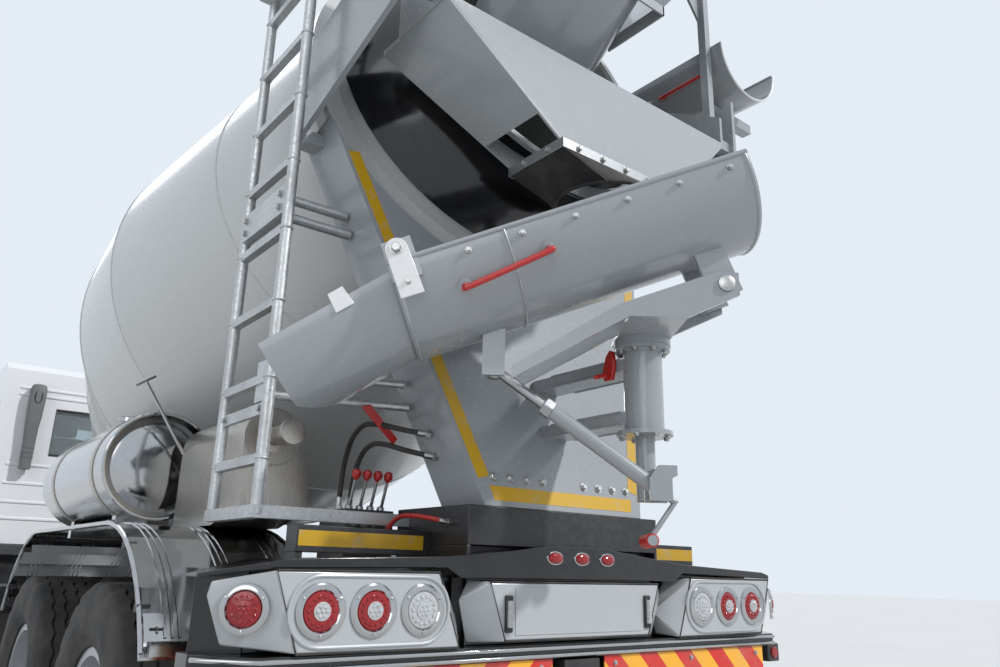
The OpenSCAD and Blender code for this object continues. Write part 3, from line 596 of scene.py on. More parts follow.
def make_hoses():
    for name, look, wide, route in HOSES:
        curve = bpy.data.curves.new(name, "CURVE")
        curve.dimensions = "3D"
        curve.bevel_depth = wide / 2
        curve.bevel_resolution = 4
        curve.use_fill_caps = True
        path = smooth_path(route, 4)
        spline = curve.splines.new("POLY")
        spline.points.add(len(path) - 1)
        for point, p in zip(spline.points, path):
            point.co = (*p, 1)
        spline.use_smooth = True
        curve.materials.append(TRIM[look])
        obj = link_new(name, curve)
        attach(obj, "root")
        ends = Shape(name + "_ferrules", "zinc")
        for k, n in ((0, 1), (-1, -2)):
            at, way = path[k], (path[n] - path[k]).normalized()
            ends.loft([circle(at + way * h, way, wide * 0.8, 6) for h in (-0.004, 0.014)])
            ends.lathe([(wide * 0.62, 0.013), (wide * 0.62, 0.042), (wide * 0.54, 0.046)], at, way, 16)
        ferrules = ends.done()


# Rear lamps, plates and markers
LAMP_FACE = -3.65
LAMP_Z = 1.015
LAMP_X = (0.641, 0.803, 0.963)
LAMP_R = 0.066
LAMP_BAND_R = 0.091
BUMPER_FACE = -3.64
BOARD_FACE = -3.636
END_LAMP_AT = (1.155, -3.6085, 1.02)
END_LAMP_WAY = (0.565, -0.825)
MARKER_X = (-0.115, 0.01, 0.134)
MARKER_Z = 1.173
LAMP_CORNERS = ((0.505, 0.908), (0.585, 1.119), (1.094, 1.117), (1.022, 0.91))
PLATE_CORNERS = ((0.393, 1.094), (0.33, 0.92))
OUTER_LENS = ((0.76, 0.006), (0.6, 0.009), (0.38, 0.01))
INNER_LENS = ((0.37, 0.008), (0.37, 0.0125), (0.28, 0.0135))
LED_DOME = ((0.085, 0), (0.075, 0.003), (0.035, 0.005))
BEZEL = ((1.12, -0.001), (1.1, 0.005), (0.98, 0.0095), (0.84, 0.0095), (0.76, 0.004), (0.76, -0.001))


def round_lamp(bezel, outer, inner, at, axis, r):
    """Wide chrome bezel with three screws round a shallow lens, with rings of small LED domes on it."""
    at = V(at)
    u, v = basis(axis)

    def spread(count, ring_r, start=0.0):
        for t in turns(count):
            yield at + (u * cos(start + t) + v * sin(start + t)) * r * ring_r

    def sized(profile):
        return [(r * wide, h) for wide, h in profile]

    bezel.lathe(sized(BEZEL), at, axis, 44)
    for screw in spread(3, 0.96, pi / 2):
        bezel.lathe([(0.0045, 0.008), (0.0045, 0.0125), (0.0025, 0.0135)], screw, axis, 10)
    outer.lathe([(r * 0.76 + 0.001, -0.001)] + sized(OUTER_LENS), at, axis, 36)
    inner.lathe(sized(INNER_LENS), at, axis, 28)
    rows = ((14, 0.56, outer, 0.0085), (6, 0.21, inner, 0.0125), (1, 0, inner, 0.0125))
    for count, ring_r, shape, base in rows:
        for led in spread(count, ring_r):
            shape.lathe([(wide, base + h) for wide, h in sized(LED_DOME)], led, axis, 10)


def rear_lamps():
    bezel = Shape("lamp_bezels", "chrome")
    red = Shape("lamp_lenses_red", "red_lens")
    clear = Shape("lamp_lenses_clear", "clear_lens")
    frame_ring = Shape("lamp_frames", "housing_grey")
    gasket = Shape("lamp_gaskets", "rubber_black")
    for s in SIDES:
        for k, x in enumerate(LAMP_X):
            outer = clear if k == 0 else red
            round_lamp(bezel, outer, clear, (s * x, LAMP_FACE, LAMP_Z), REAR, LAMP_R)
        facet = V((s * END_LAMP_WAY[0], END_LAMP_WAY[1], 0)).normalized()
        round_lamp(bezel, red, red, (s * END_LAMP_AT[0], *END_LAMP_AT[1:]), facet, LAMP_R * 0.86)
        right = arc((LAMP_X[2], LAMP_Z), LAMP_BAND_R, -90, 90, 12, (0, 2), LAMP_FACE - 0.001)
        left = arc((LAMP_X[0], LAMP_Z), LAMP_BAND_R, 90, 270, 12, (0, 2), LAMP_FACE - 0.001)
        frame_ring.pipe([(s * p.x, p.y, p.z) for p in right + left], 0.0055, 8, closed=True)
        gasket.pipe(flat([(s * x, z) for x, z in LAMP_CORNERS], LAMP_FACE + 0.002), 0.004, 6, closed=True)
    finish(bezel, red, clear, frame_ring, gasket)


def rear_trim():
    edge = Shape("plate_housing_rim", "rubber_black")
    edge.pipe(flat(mirrored(PLATE_CORNERS), LAMP_FACE + 0.002), 0.004, 6, closed=True)
    edge.done()
    panel = Shape("plate_blank", "housing_grey")
    panel.box((-0.292, 0.292), (LAMP_FACE - 0.0025, LAMP_FACE + 0.001), (0.936, 1.08))
    panel.done(0.001)
    holders = Shape("plate_lamp_holders", "plastic_black")
    tubes = Shape("plate_lamps", "clear_lens")
    for s in SIDES:
        x = s * 0.322
        holders.box((x - 0.014, x + 0.014), (LAMP_FACE - 0.01, LAMP_FACE + 0.001), (0.945, 1.055))
        tubes.rod((x, LAMP_FACE - 0.012, 0.96), (x, LAMP_FACE - 0.012, 1.04), 0.01)
    finish(holders, tubes, bevel=0.003)
    rims = Shape("marker_bezels", "chrome")
    domes = Shape("marker_lenses", "red_lens")
    for x in MARKER_X:
        oval = [V((0.033 * cos(a), 0, 0.019 * sin(a))) for a in turns(28)]
        rims.place = domes.place = shift(x, BUMPER_FACE, MARKER_Z)
        rims.pipe(oval, 0.0045, 8, closed=True)
        dome = ((0.96, -0.002), (0.9, 0.008), (0.6, 0.014), (0.2, 0.016))
        domes.loft([[p * size + REAR * out for p in oval] for size, out in dome])
    finish(rims, domes)
    # Double bright lip under the lamps, which follows the bumper's chamfered ends
    lip = Shape("bumper_lip", "chrome")
    for z in (0.893, 0.87):
        half = [(1.112, BUMPER_FACE - 0.004), (1.24, -3.5)]
        lip.pipe(flat([(-x, y) for x, y in reversed(half)] + half, z, 2), 0.007, 10)
    lip.done(0, 60)
    ends = Shape("bumper_end_blocks", "plastic_black")
    side_red = Shape("bumper_end_reflectors", "red_lens")
    side_amber = Shape("bumper_end_lamps", "amber_lens")
    for s in SIDES:
        side_red.lathe([(0.022, 0), (0.022, 0.006), (0.017, 0.01)], (s * 1.175, -3.599, 0.826), REAR, 20)
    side_amber.boxes((1.2145, 1.222), (-3.56, -3.5), (0.812, 0.842))
    ends.boxes((1.135, 1.215), (-3.6, -3.47), (0.79, 0.861))
    ends.done(0.006)
    side_red.done()
    side_amber.done(0.002)
    bolts = Shape("board_bolts", "zinc")
    for s in SIDES:
        for x in (0.17, 0.58, 0.99):
            for z in (0.675, 0.835):
                bolts.bolt((s * x, BOARD_FACE, z), REAR, 0.007)
    bolts.done()


# Pedestal: reflective tape, bolts, weld seams, pawl and hose bar
PEDESTAL_LOW = (0.376, -1.9)
PEDESTAL_HIGH = (0.85, -0.38)
PEDESTAL_FACE = -0.038
TAPE_W = 0.05


def pedestal_trim():
    tape = Shape("pedestal_tape", "tape_yellow", "root", IN_DRUM)
    foot, top = V(PEDESTAL_LOW), V(PEDESTAL_HIGH)
    along = (top - foot).normalized()
    inward = V((-along.y, along.x))
    face, thick = PEDESTAL_FACE + 0.0002, (0, 0, 0.0008)
    for s in SIDES:
        a = foot + inward * 0.016 + along * 0.09
        b = foot + inward * 0.016 + along * 1.42
        quad = [a, b, b + inward * TAPE_W, a + inward * TAPE_W]
        tape.prism([(s * p.x, p.y, face) for p in quad], thick)
    low = PEDESTAL_LOW[1] + 0.02
    tape.prism(flat(mirrored([(0.33, low), (0.345, low + TAPE_W)]), face, 2), thick)
    tape.done()
    beam = Shape("beam_tape", "tape_yellow")
    beam.boxes((0.48, 0.925), (-3.3912, -3.3902), (1.188, 1.234))
    beam.done()
    bolts = Shape("pedestal_bolts", "zinc", "root", IN_DRUM)
    for s in SIDES:
        for k in range(4):
            bolts.bolt((s * (0.1 + 0.075 * k), -1.8, PEDESTAL_FACE), UP, 0.012)
    bolts.place = shift(*POST_AT)
    for t in turns(8):
        for z in (1.846, 1.56):
            bolts.bolt(polar(0.079, t + pi / 8, z), DOWN, 0.009)
    bolts.done()
    welds = Shape("post_welds", "mixer_grey")
    for z in (1.6, 1.64, 1.78, 1.82):
        for s in SIDES:
            welds.pipe([(s * 0.0605, -3.9, z), (s * 0.0605, -3.56, z)], 0.004, 6)
    for z in (1.575, 1.845):
        welds.ring((0, POST_AT[1], z), UP, 0.066, 0.005, 32, 6)
    welds.done()
    # Red pawl beside the sleeve that holds the chute's swing
    pawl = Shape("swing_pawl", "red_paint")
    hook = [(-3.842, 1.752), (-3.88, 1.752), (-3.89, 1.8), (-3.884, 1.85), (-3.87, 1.856),
            (-3.852, 1.835), (-3.838, 1.79)]
    pawl.prism(flat(hook, -0.078, 0), (0.016, 0, 0))
    pawl.rod((-0.078, -3.862, 1.77), (-0.14, -3.862, 1.752), 0.008)
    pawl.done(0.003)
    bar = Shape("hose_bar", "red_paint")
    bar.prism(flat([(-0.694, 1.655), (-0.662, 1.668), (-0.545, 1.562), (-0.56, 1.54)], -3.3), (0, 0.01, 0))
    bar.done(0.003)


# Chute: rolled ends, white ears and handle
def trough_arc(r, x, first=-180, last=0):
    return arc((0, 0), r, first, last, 24, (1, 2), x)


def grip_bar(shape, a, b, out, reach, bend, r):
    """A bar on two legs that stand out from a surface."""
    a, b = V(a), V(b)
    way = (b - a).normalized() * bend
    leg = out * 0.03
    shape.pipe(smooth_path([a, a + leg, a + out * reach + way, b + out * reach - way, b + leg, b], 4), r, 12)


def chute_trim():
    lips = Shape("chute_end_rolls", "mixer_grey", "chute_body", IN_CHUTE)
    for x in CHUTE_ENDS:
        lips.pipe(trough_arc(CHUTE_R - 0.004, x), 0.0085, 8)
    lips.pipe(trough_arc(CHUTE_R + 0.001, CHUTE_BAND_X), 0.004, 6)
    lips.done()
    ears = Shape("chute_ears", "white_paint", "chute_body", IN_CHUTE)
    pins = Shape("chute_ear_bolts", "zinc", "chute_body", IN_CHUTE)
    tips = Shape("fold_ears", "white_paint", "fold_body", IN_FOLD)
    outline = [(0.902, -0.115), (0.974, -0.115), (0.974, 0.04)]
    outline += [(p.x, p.z) for p in arc(FOLD_AT, 0.034, 0, 180, 8, (0, 2))]
    for s in SIDES:
        y = s * (CHUTE_R + 0.0035)
        ears.prism(flat(outline, y), (0, s * 0.006, 0))
        pins.bolt((FOLD_AT[0], y + s * 0.006, FOLD_AT[1]), (0, s, 0), 0.015)
        pins.bolt((0.938, y + s * 0.006, -0.07), (0, s, 0), 0.008)
        for k in range(6):
            pins.bolt((-0.11 + 0.17 * k, s * (CHUTE_R + 0.0005), -0.03), (0, s, 0), 0.008)
        plate = [(0.185, -0.075), (0.245, -0.075), (0.24, -0.01), (0.19, -0.01)]
        tips.prism(flat(plate, s * 0.2085), (0, s * 0.005, 0))
    ears.done(0.002)
    handle = Shape("chute_handle", "red_paint", "chute_body", IN_CHUTE)
    roots = Shape("chute_handle_feet", "mixer_grey", "chute_body", IN_CHUTE)
    out = V((0, 0.86, -0.5))
    grip_bar(handle, *CHUTE_HANDLE, out, 0.046, 0.016, 0.0095)
    for end in CHUTE_HANDLE:
        roots.lathe([(0.022, 0.0), (0.022, 0.005), (0.014, 0.008)], V(end) + out * 0.0005, out, 18)
    finish(pins, handle, roots)
    tips.done(0.002)


# Strut and post: crank grip, pins and nut
def strut_trim():
    grip = Shape("crank_grip", "red_paint", "strut_tube_body", IN_STRUT)
    profile = [(0.0165, -0.056), (0.02, -0.052)]
    for k in range(9):
        y = -0.044 + 0.011 * k
        profile += [(0.02, y - 0.003), (0.018, y), (0.02, y + 0.003)]
    grip.lathe(profile + [(0.02, 0.052), (0.0165, 0.056)], (-0.06, 0, -0.14), AHEAD, 20)
    grip.done()
    pins = Shape("post_pins", "zinc", "post_body", IN_POST)
    for y, side in ((CHUTE_OFFSET - 0.104, -1), (CHUTE_OFFSET + 0.104, 1)):
        at = (TILT_AT[0], y, TILT_AT[1])
        pins.lathe([(0.026, 0), (0.026, 0.005), (0.016, 0.009)], at, (0, side, 0), 18)
    for t in turns(6):
        pins.bolt(polar(0.075, t, 1.8603), DOWN, 0.006)
    pins.done()
    nut = Shape("strut_nut", "steel", "strut_tube_body", IN_STRUT)
    nut.loft([circle((x, 0, 0), (1, 0, 0), 0.031, 6) for x in (0.395, 0.428)])
    nut.done(0.002)


# Hopper, rack and ladder trim
OUTLET_X = 0.31
OUTLET_Y = (-3.89, -3.61)
SPARE_AT = (1.02, 3.5653)
SPARE_Y = (-3.797, -3.003)


def hopper_trim():
    strip = Shape("collar_clamp", "steel")
    x, y, z, t = OUTLET_X + 0.004, (OUTLET_Y[0] - 0.004, OUTLET_Y[1] + 0.004), (2.536, 2.574), 0.005
    for edge in ((y[0] - t, y[0]), (y[1], y[1] + t)):
        strip.box((-x - t, x + t), edge, z)
    strip.boxes((x, x + t), (y[0] - t, y[1] + t), z)
    strip.done(0.0015)
    bolts = Shape("hopper_bolts", "zinc")
    for k in range(5):
        bolts.bolt((-0.24 + 0.12 * k, y[0] - t, 2.555), REAR, 0.01)
    for s in SIDES:
        for k in range(2):
            bolts.bolt((s * (x + t), -3.82 + 0.13 * k, 2.555), (s, 0, 0), 0.01)
        for z_arm in (2.76, 2.86, 2.96):
            bolts.bolt((s * 0.925, -3.03, z_arm), (s, 0, 0), 0.012)
    bolts.done()
    lip = Shape("spare_chute_rim", "white_paint")
    for y in SPARE_Y:
        lip.pipe(arc(SPARE_AT, 0.2125, -180, 0, 24, (0, 2), y), 0.005, 8)
    rolls = Shape("spare_chute_rolls", "mixer_grey")
    for s in SIDES:
        x, z = SPARE_AT[0] + s * 0.2085, SPARE_AT[1] + 0.002
        rolls.rod((x, SPARE_Y[0] + 0.004, z), (x, SPARE_Y[1] - 0.004, z), 0.006, sides=10)
    handle = Shape("spare_chute_handle", "red_paint")
    out = V((-0.866, 0, -0.5))
    foot = V((SPARE_AT[0], 0, SPARE_AT[1])) + out * 0.215
    grip_bar(handle, foot + V((0, -3.7, 0)), foot + V((0, -3.43, 0)), out, 0.044, 0.015, 0.009)
    finish(lip, rolls, handle)


LADDER_X = -1.0
LADDER_Y = (-3.23, -2.84)
RUNG_Z = [1.455 + 0.265 * k for k in range(8)]


def ladder_trim():
    """Raised grip points on the rungs, collars and bolts, stile caps and the platform's grating."""
    grips = Shape("rung_grips", "galvanised")
    stud = [(0.0045, 0), (0.0045, 0.002), (0.0028, 0.0045)]
    for z in RUNG_Z:
        for k in range(9):
            y = LADDER_Y[0] + 0.042 + 0.0385 * k
            for dx in (-0.007, 0.007):
                grips.lathe(stud, (LADDER_X + dx, y, z + 0.0148), UP, 8)
    rings = Shape("ladder_welds", "galvanised")
    for y in LADDER_Y:
        for z in RUNG_Z:
            rings.ring((LADDER_X, y, z), UP, 0.0205, 0.004, 20, 6)
        rings.lathe([(0.02, -0.002), (0.021, 0.002), (0.016, 0.007)], (LADDER_X, y, 3.4495), UP, 20)
        rings.lathe([(0.0225, 0.0), (0.0225, -0.018), (0.016, -0.022)], (LADDER_X, y, 1.3), UP, 20)
    wings = Shape("ladder_wing_bolts", "zinc")
    for z, out in ((1.62, 0.0085), (2.34, 0.0185), (2.39, 0.0185)):
        for y in (-3.19, -2.88):
            wings.bolt((LADDER_X - out, y, z), (-1, 0, 0), 0.011)
    grate = Shape("platform_grating", "galvanised")
    for k in range(9):
        y = -3.235 + 0.05 * k
        grate.box((LADDER_X - 0.056, LADDER_X + 0.066), (y - 0.003, y + 0.003), (3.449, 3.4575))
    for k in range(3):
        x = LADDER_X - 0.05 + 0.055 * k
        grate.box((x - 0.003, x + 0.003), (-3.245, -2.825), (3.449, 3.4555))
    finish(grips, rings, wings, grate)


# Mudguards: rolled edges and ribbed bands along the arches
GUARD_R = 0.74
AXLE_Y = (-1.06, -2.41)
AXLE_Z = 0.53


def guard_path(lift, low=27.5):
    r = GUARD_R + lift
    rear = arc((AXLE_Y[1], AXLE_Z), r, 180 - low, 90, 12)
    front = arc((AXLE_Y[0], AXLE_Z), r, 90, low, 12)
    return rear + front


def mudguard_trim():
    edges = Shape("mudguard_edges", "chrome")
    ribs = Shape("mudguard_ribs", "polished_steel")
    blocks = Shape("mudguard_blocks", "plastic_black")
    for s in SIDES:
        for x in (0.656, 1.236):
            edges.pipe([(s * x, p.y, p.z) for p in guard_path(-0.002)], 0.009, 8)
        for band in (0.745, 0.945, 1.145):
            for x in (band - 0.022, band, band + 0.022):
                ribs.pipe([(s * x, p.y, p.z) for p in guard_path(-0.001, 31)], 0.0055, 6)
        for angle in (40, 65, 115, 140):
            y = AXLE_Y[0 if angle < 90 else 1]
            p = arc((y, AXLE_Z), GUARD_R - 0.014, angle, angle + 1, 1)[0]
            blocks.box((s * 1.205, s * 1.2445), (p.y - 0.02, p.y + 0.02), (p.z - 0.016, p.z + 0.01))
    finish(edges, ribs)
    blocks.done(0.003)
    tube = Shape("mudguard_brackets", "chassis_black")
    for s in SIDES:
        for y, angle in ((AXLE_Y[1], 147), (AXLE_Y[0], 33)):
            p = arc((y, AXLE_Z), GUARD_R - 0.027, angle, angle + 1, 1)[0]
            tube.rod((s * 0.43, p.y, p.z), (s * 1.225, p.y, p.z), 0.021, sides=14)
            for x in (s * 0.7, s * 1.19):
                tube.ring((x, p.y, p.z), (1, 0, 0), 0.0235, 0.006, 20, 8)
                tube.box((x - 0.022, x + 0.022), (p.y - 0.022, p.y + 0.022), (p.z - 0.03, p.z + 0.022))
    tube.done(0.002)


# Tanks and valves
TANK_AT = (-0.99, 1.53)
TANK_Y = (-2.1, -0.85)
TANK_R = 0.232


def tank_trim():
    straps = Shape("tank_straps", "brushed_steel")
    for y in (-1.92, -1.12):
        section = ((0.0005, -0.025), (0.004, -0.025), (0.004, 0.025), (0.0005, 0.025))
        straps.place = shift(TANK_AT[0], y, TANK_AT[1])
        hoop = [[((TANK_R + r) * cos(a), dy, (TANK_R + r) * sin(a)) for r, dy in section] for a in turns(48)]
        straps.loft(hoop, closed=True)
        straps.place = Matrix()
        straps.box((TANK_AT[0] - 0.11, TANK_AT[0] + 0.11), (y - 0.022, y + 0.022), (1.272, 1.305))
    straps.done(0, 50)
    fittings = Shape("tank_fittings", "chrome")
    cap = [(0.05, -0.01), (0.05, 0.03), (0.058, 0.032), (0.058, 0.052), (0.05, 0.058), (0.014, 0.06)]
    fittings.lathe(cap, (TANK_AT[0], -1.48, TANK_AT[1] + TANK_R), UP, 28)
    for y in (TANK_Y[0] + 0.004, TANK_Y[1] - 0.004):
        fittings.ring((TANK_AT[0], y, TANK_AT[1]), AHEAD, TANK_R - 0.007, 0.007, 48, 8)
    for y in (-1.82, -1.23):
        fittings.bolt((TANK_AT[0] - 0.104, y, 1.3005), (-0.3, 0, 1), 0.008)
    # Tap on the rear end with its long spindle and bar
    body = [(0.03, 0.0), (0.03, 0.04), (0.022, 0.046), (0.022, 0.09)]
    fittings.lathe(body, (-0.86, TANK_Y[0] + 0.03, 1.5), REAR, 20)
    foot, tip = V((-0.86, -2.15, 1.5)), V((-1.125, -2.19, 1.868))
    fittings.rod(foot, tip, 0.0075, sides=12)
    way = (tip - foot).normalized()
    side = V((way.z, 0, -way.x)).normalized() * 0.045
    fittings.rod(tip - side, tip + side, 0.0085, sides=12)
    pipe = Shape("side_tank_outlet", "brushed_steel")
    stub = [(0.06, -0.004), (0.06, 0.01), (0.036, 0.012), (0.036, 0.15), (0.046, 0.152), (0.046, 0.172),
            (0.03, 0.174)]
    pipe.lathe(stub, (-0.81, -2.85, 1.59), REAR, 28)
    pipe.ring((-0.81, -2.849, 1.59), AHEAD, 0.106, 0.004, 36, 6)
    finish(fittings, pipe)


VALVE_TOP = 1.33
VALVE_REAR = -3.1


def valve_trim():
    levers = Shape("valve_levers", "steel")
    knobs = Shape("valve_knobs", "red_paint")
    caps = Shape("valve_caps", "zinc")
    for k in range(4):
        x = -0.59 + 0.044 * k
        levers.rod((x, -3.06, VALVE_TOP - 0.004), (x - 0.006, -3.11, 1.44), 0.006, sides=10)
        levers.lathe([(0.014, -0.004), (0.014, 0.012), (0.009, 0.018)], (x, -3.06, VALVE_TOP), UP, 14)
        knob = [(0.007, -0.008), (0.016, 0.004), (0.018, 0.016), (0.013, 0.028), (0.004, 0.031)]
        knobs.lathe(knob, (x - 0.006, -3.11, 1.44), (-0.05, -0.4, 0.9), 16)
        cap = [(0.017, -0.002), (0.017, 0.008), (0.011, 0.01), (0.011, 0.018)]
        for z in (1.1, 1.19, 1.28):
            caps.lathe(cap, (x, VALVE_REAR, z), REAR, 6)
    finish(levers, knobs, caps)


# Road wheels: tyres with grooved tread and shoulder lugs
TYRE_R = 0.53
TYRE_HALF = 0.152
RIM_R = 0.292
WHEEL_STEPS = 144
FRONT_TYRE_X = 1.04
TWIN_TYRES_X = (1.094, 0.754)
GROOVE_AT = (-0.078, -0.027, 0.027, 0.078)
GROOVE = 0.0062
GROOVE_DEEP = 0.013


def tyre_section(k):
    """Outline of the section at step k, (across, radius) from bead to bead."""
    zig = 0.0045 * (1 if (k // 2) % 2 else -1)
    lug = 0.009 if k % 6 in (0, 1) else 0.0
    wall = [(0.109, 0.001), (0.11, 0.018), (0.128, 0.019), (0.1455, 0.06), (0.1468, 0.062), (0.1512, 0.108),
            (TYRE_HALF, 0.112), (TYRE_HALF, 0.122), (0.1512, 0.126)]
    shoulder = [(0.149, 0.06), (0.1455 - lug * 0.4, 0.034), (0.1395 - lug * 0.6, 0.016 + lug * 0.3),
                (0.127, 0.003 + lug), (0.118, 0.0012 + lug), (0.108, lug * 0.5)]
    side = [(x, RIM_R + h) for x, h in wall] + [(x, TYRE_R - h) for x, h in shoulder]
    tread = []
    floor, narrow = TYRE_R - GROOVE_DEEP, GROOVE * 0.6
    for g in reversed(GROOVE_AT):
        c = g + zig
        tread += [(c + GROOVE, TYRE_R), (c + narrow, floor), (c - narrow, floor), (c - GROOVE, TYRE_R)]
    inner = [(0.1, RIM_R + 0.012), (0.09, RIM_R + 0.0015)]
    return side + tread + [(-x, r) for x, r in reversed(inner + side)] + inner


def tyre(node, body, centres):
    """One tyre or a twin pair that stands for the plain CAD one, on an axis along X at y, AXLE_Z."""
    low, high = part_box(node)
    y = (low[1] + high[1]) / 2
    piece = Shape(node + "_tread", "tyre", body)
    angles = list(enumerate(turns(WHEEL_STEPS)))
    for x in centres:
        piece.place = shift(x, y, AXLE_Z)
        rings = [[(a, r * cos(t), r * sin(t)) for a, r in tyre_section(k)] for k, t in angles]
        piece.loft(rings, closed=True)
    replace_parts(piece.done(0, 40), node)


def wheels():
    for side, s in (("left", -1), ("right", 1)):
        tyre("tyre_front_" + side, "wheel_front_" + side, [s * FRONT_TYRE_X])
        for axle in ("drive", "last"):
            tyre("tyres_%s_%s" % (axle, side), "wheels_%s_%s" % (axle, side), [s * x for x in TWIN_TYRES_X])


# Drum: mixing blades inside, weld beads outside, and painted shade over the rear cone
DRUM_PROFILE = ((0.33, 0.565), (0.0, 0.77), (-1.85, 1.17), (-2.45, 1.17), (-3.86, 0.75))
BLADE_DEEP = 0.34
BLADE_PITCH = 1.35
BLADE_T = 0.008
BLADE_LIP = 0.08
BLADE_LIP_T = 0.006
DRUM_WELDS = (-0.92, -1.85, -2.45, -3.15)


def drum_radius(s):
    for (s0, r0), (s1, r1) in zip(DRUM_PROFILE, DRUM_PROFILE[1:]):
        if s1 <= s <= s0:
            return r0 + (r1 - r0) * (s0 - s) / (s0 - s1)
    return DRUM_PROFILE[-1][1]


def drum_trim():
    blades = Shape("mixing_blades", "drum_white", "drum_body", IN_DRUM)
    first, last, steps = 0.29, -3.5, 150
    for start in (0, pi):
        rings = []
        for k in range(steps + 1):
            s = first + (last - first) * k / steps
            t = start + 2 * pi * (first - s) / BLADE_PITCH
            out = drum_radius(s) - 0.012
            deep = min(BLADE_DEEP, out * 0.5)
            low, lip = out - deep, out - deep - BLADE_LIP_T
            side = [(out, BLADE_T / 2), (low, BLADE_T / 2), (low, BLADE_LIP / 2), (lip, BLADE_LIP / 2)]
            rings.append([polar(r, t, s + ds) for r, ds in [(r, -ds) for r, ds in side] + side[::-1]])
        blades.loft(rings)
    blades.done(0, 50)
    welds = Shape("drum_welds", "drum_white", "drum_body", IN_DRUM)
    for s in DRUM_WELDS:
        welds.ring((0, 0, s), UP, drum_radius(s) - 0.0015, 0.006, 96, 6)
    welds.done()
    # A thin gloss black sheet just over the drum's white rear cone: painted shade where that cone lies in
    # shadow
    dark = Shape("mouth_liner", "gloss_black", "drum_body", IN_DRUM)
    profile = ((-0.028, 0.7885), (0.308, 0.5805), (0.308, 0.579), (-0.028, 0.787))
    dark.loft([circle((0, 0, s), UP, r, 64) for s, r in profile], closed=True)
    dark.done(0, 60)


# Cab: grille, wipers, handles, ribs, seals, mirror faces, side lamps, air intake and nose
CAB_HALF = 1.15
CAB_FRONT = 4.35
CAB_REAR = 2.42
GRAB_Y = 2.96
GRAB_Z = (1.48, 2.22)
INTAKE_X = -0.885
INTAKE_Y = 2.3545
GRILLE = ((-0.756, 1.336), (0.756, 1.336), (0.756, 1.794), (-0.756, 1.794))
REAR_WINDOW = ((-0.704, 2.046), (0.704, 2.046), (0.704, 2.454), (-0.704, 2.454))
WINDSCREEN = ((-1.045, 1.956), (1.045, 1.956), (1.045, 2.564), (-1.045, 2.564))
INTAKE = (
    (1.9, -0.885, 0.044, 0.052), (2.1, -0.885, 0.046, 0.052), (2.26, -0.888, 0.052, 0.055),
    (2.36, -0.886, 0.06, 0.06), (2.5, -0.885, 0.0645, 0.0625), (2.6, -0.885, 0.0645, 0.0625),
    (2.638, -0.885, 0.055, 0.055), (2.649, -0.885, 0.036, 0.038),
)


def screen_y(z):
    """Where the slanted windscreen's face stands at a height."""
    return CAB_FRONT - (z - 1.9) * 0.2375


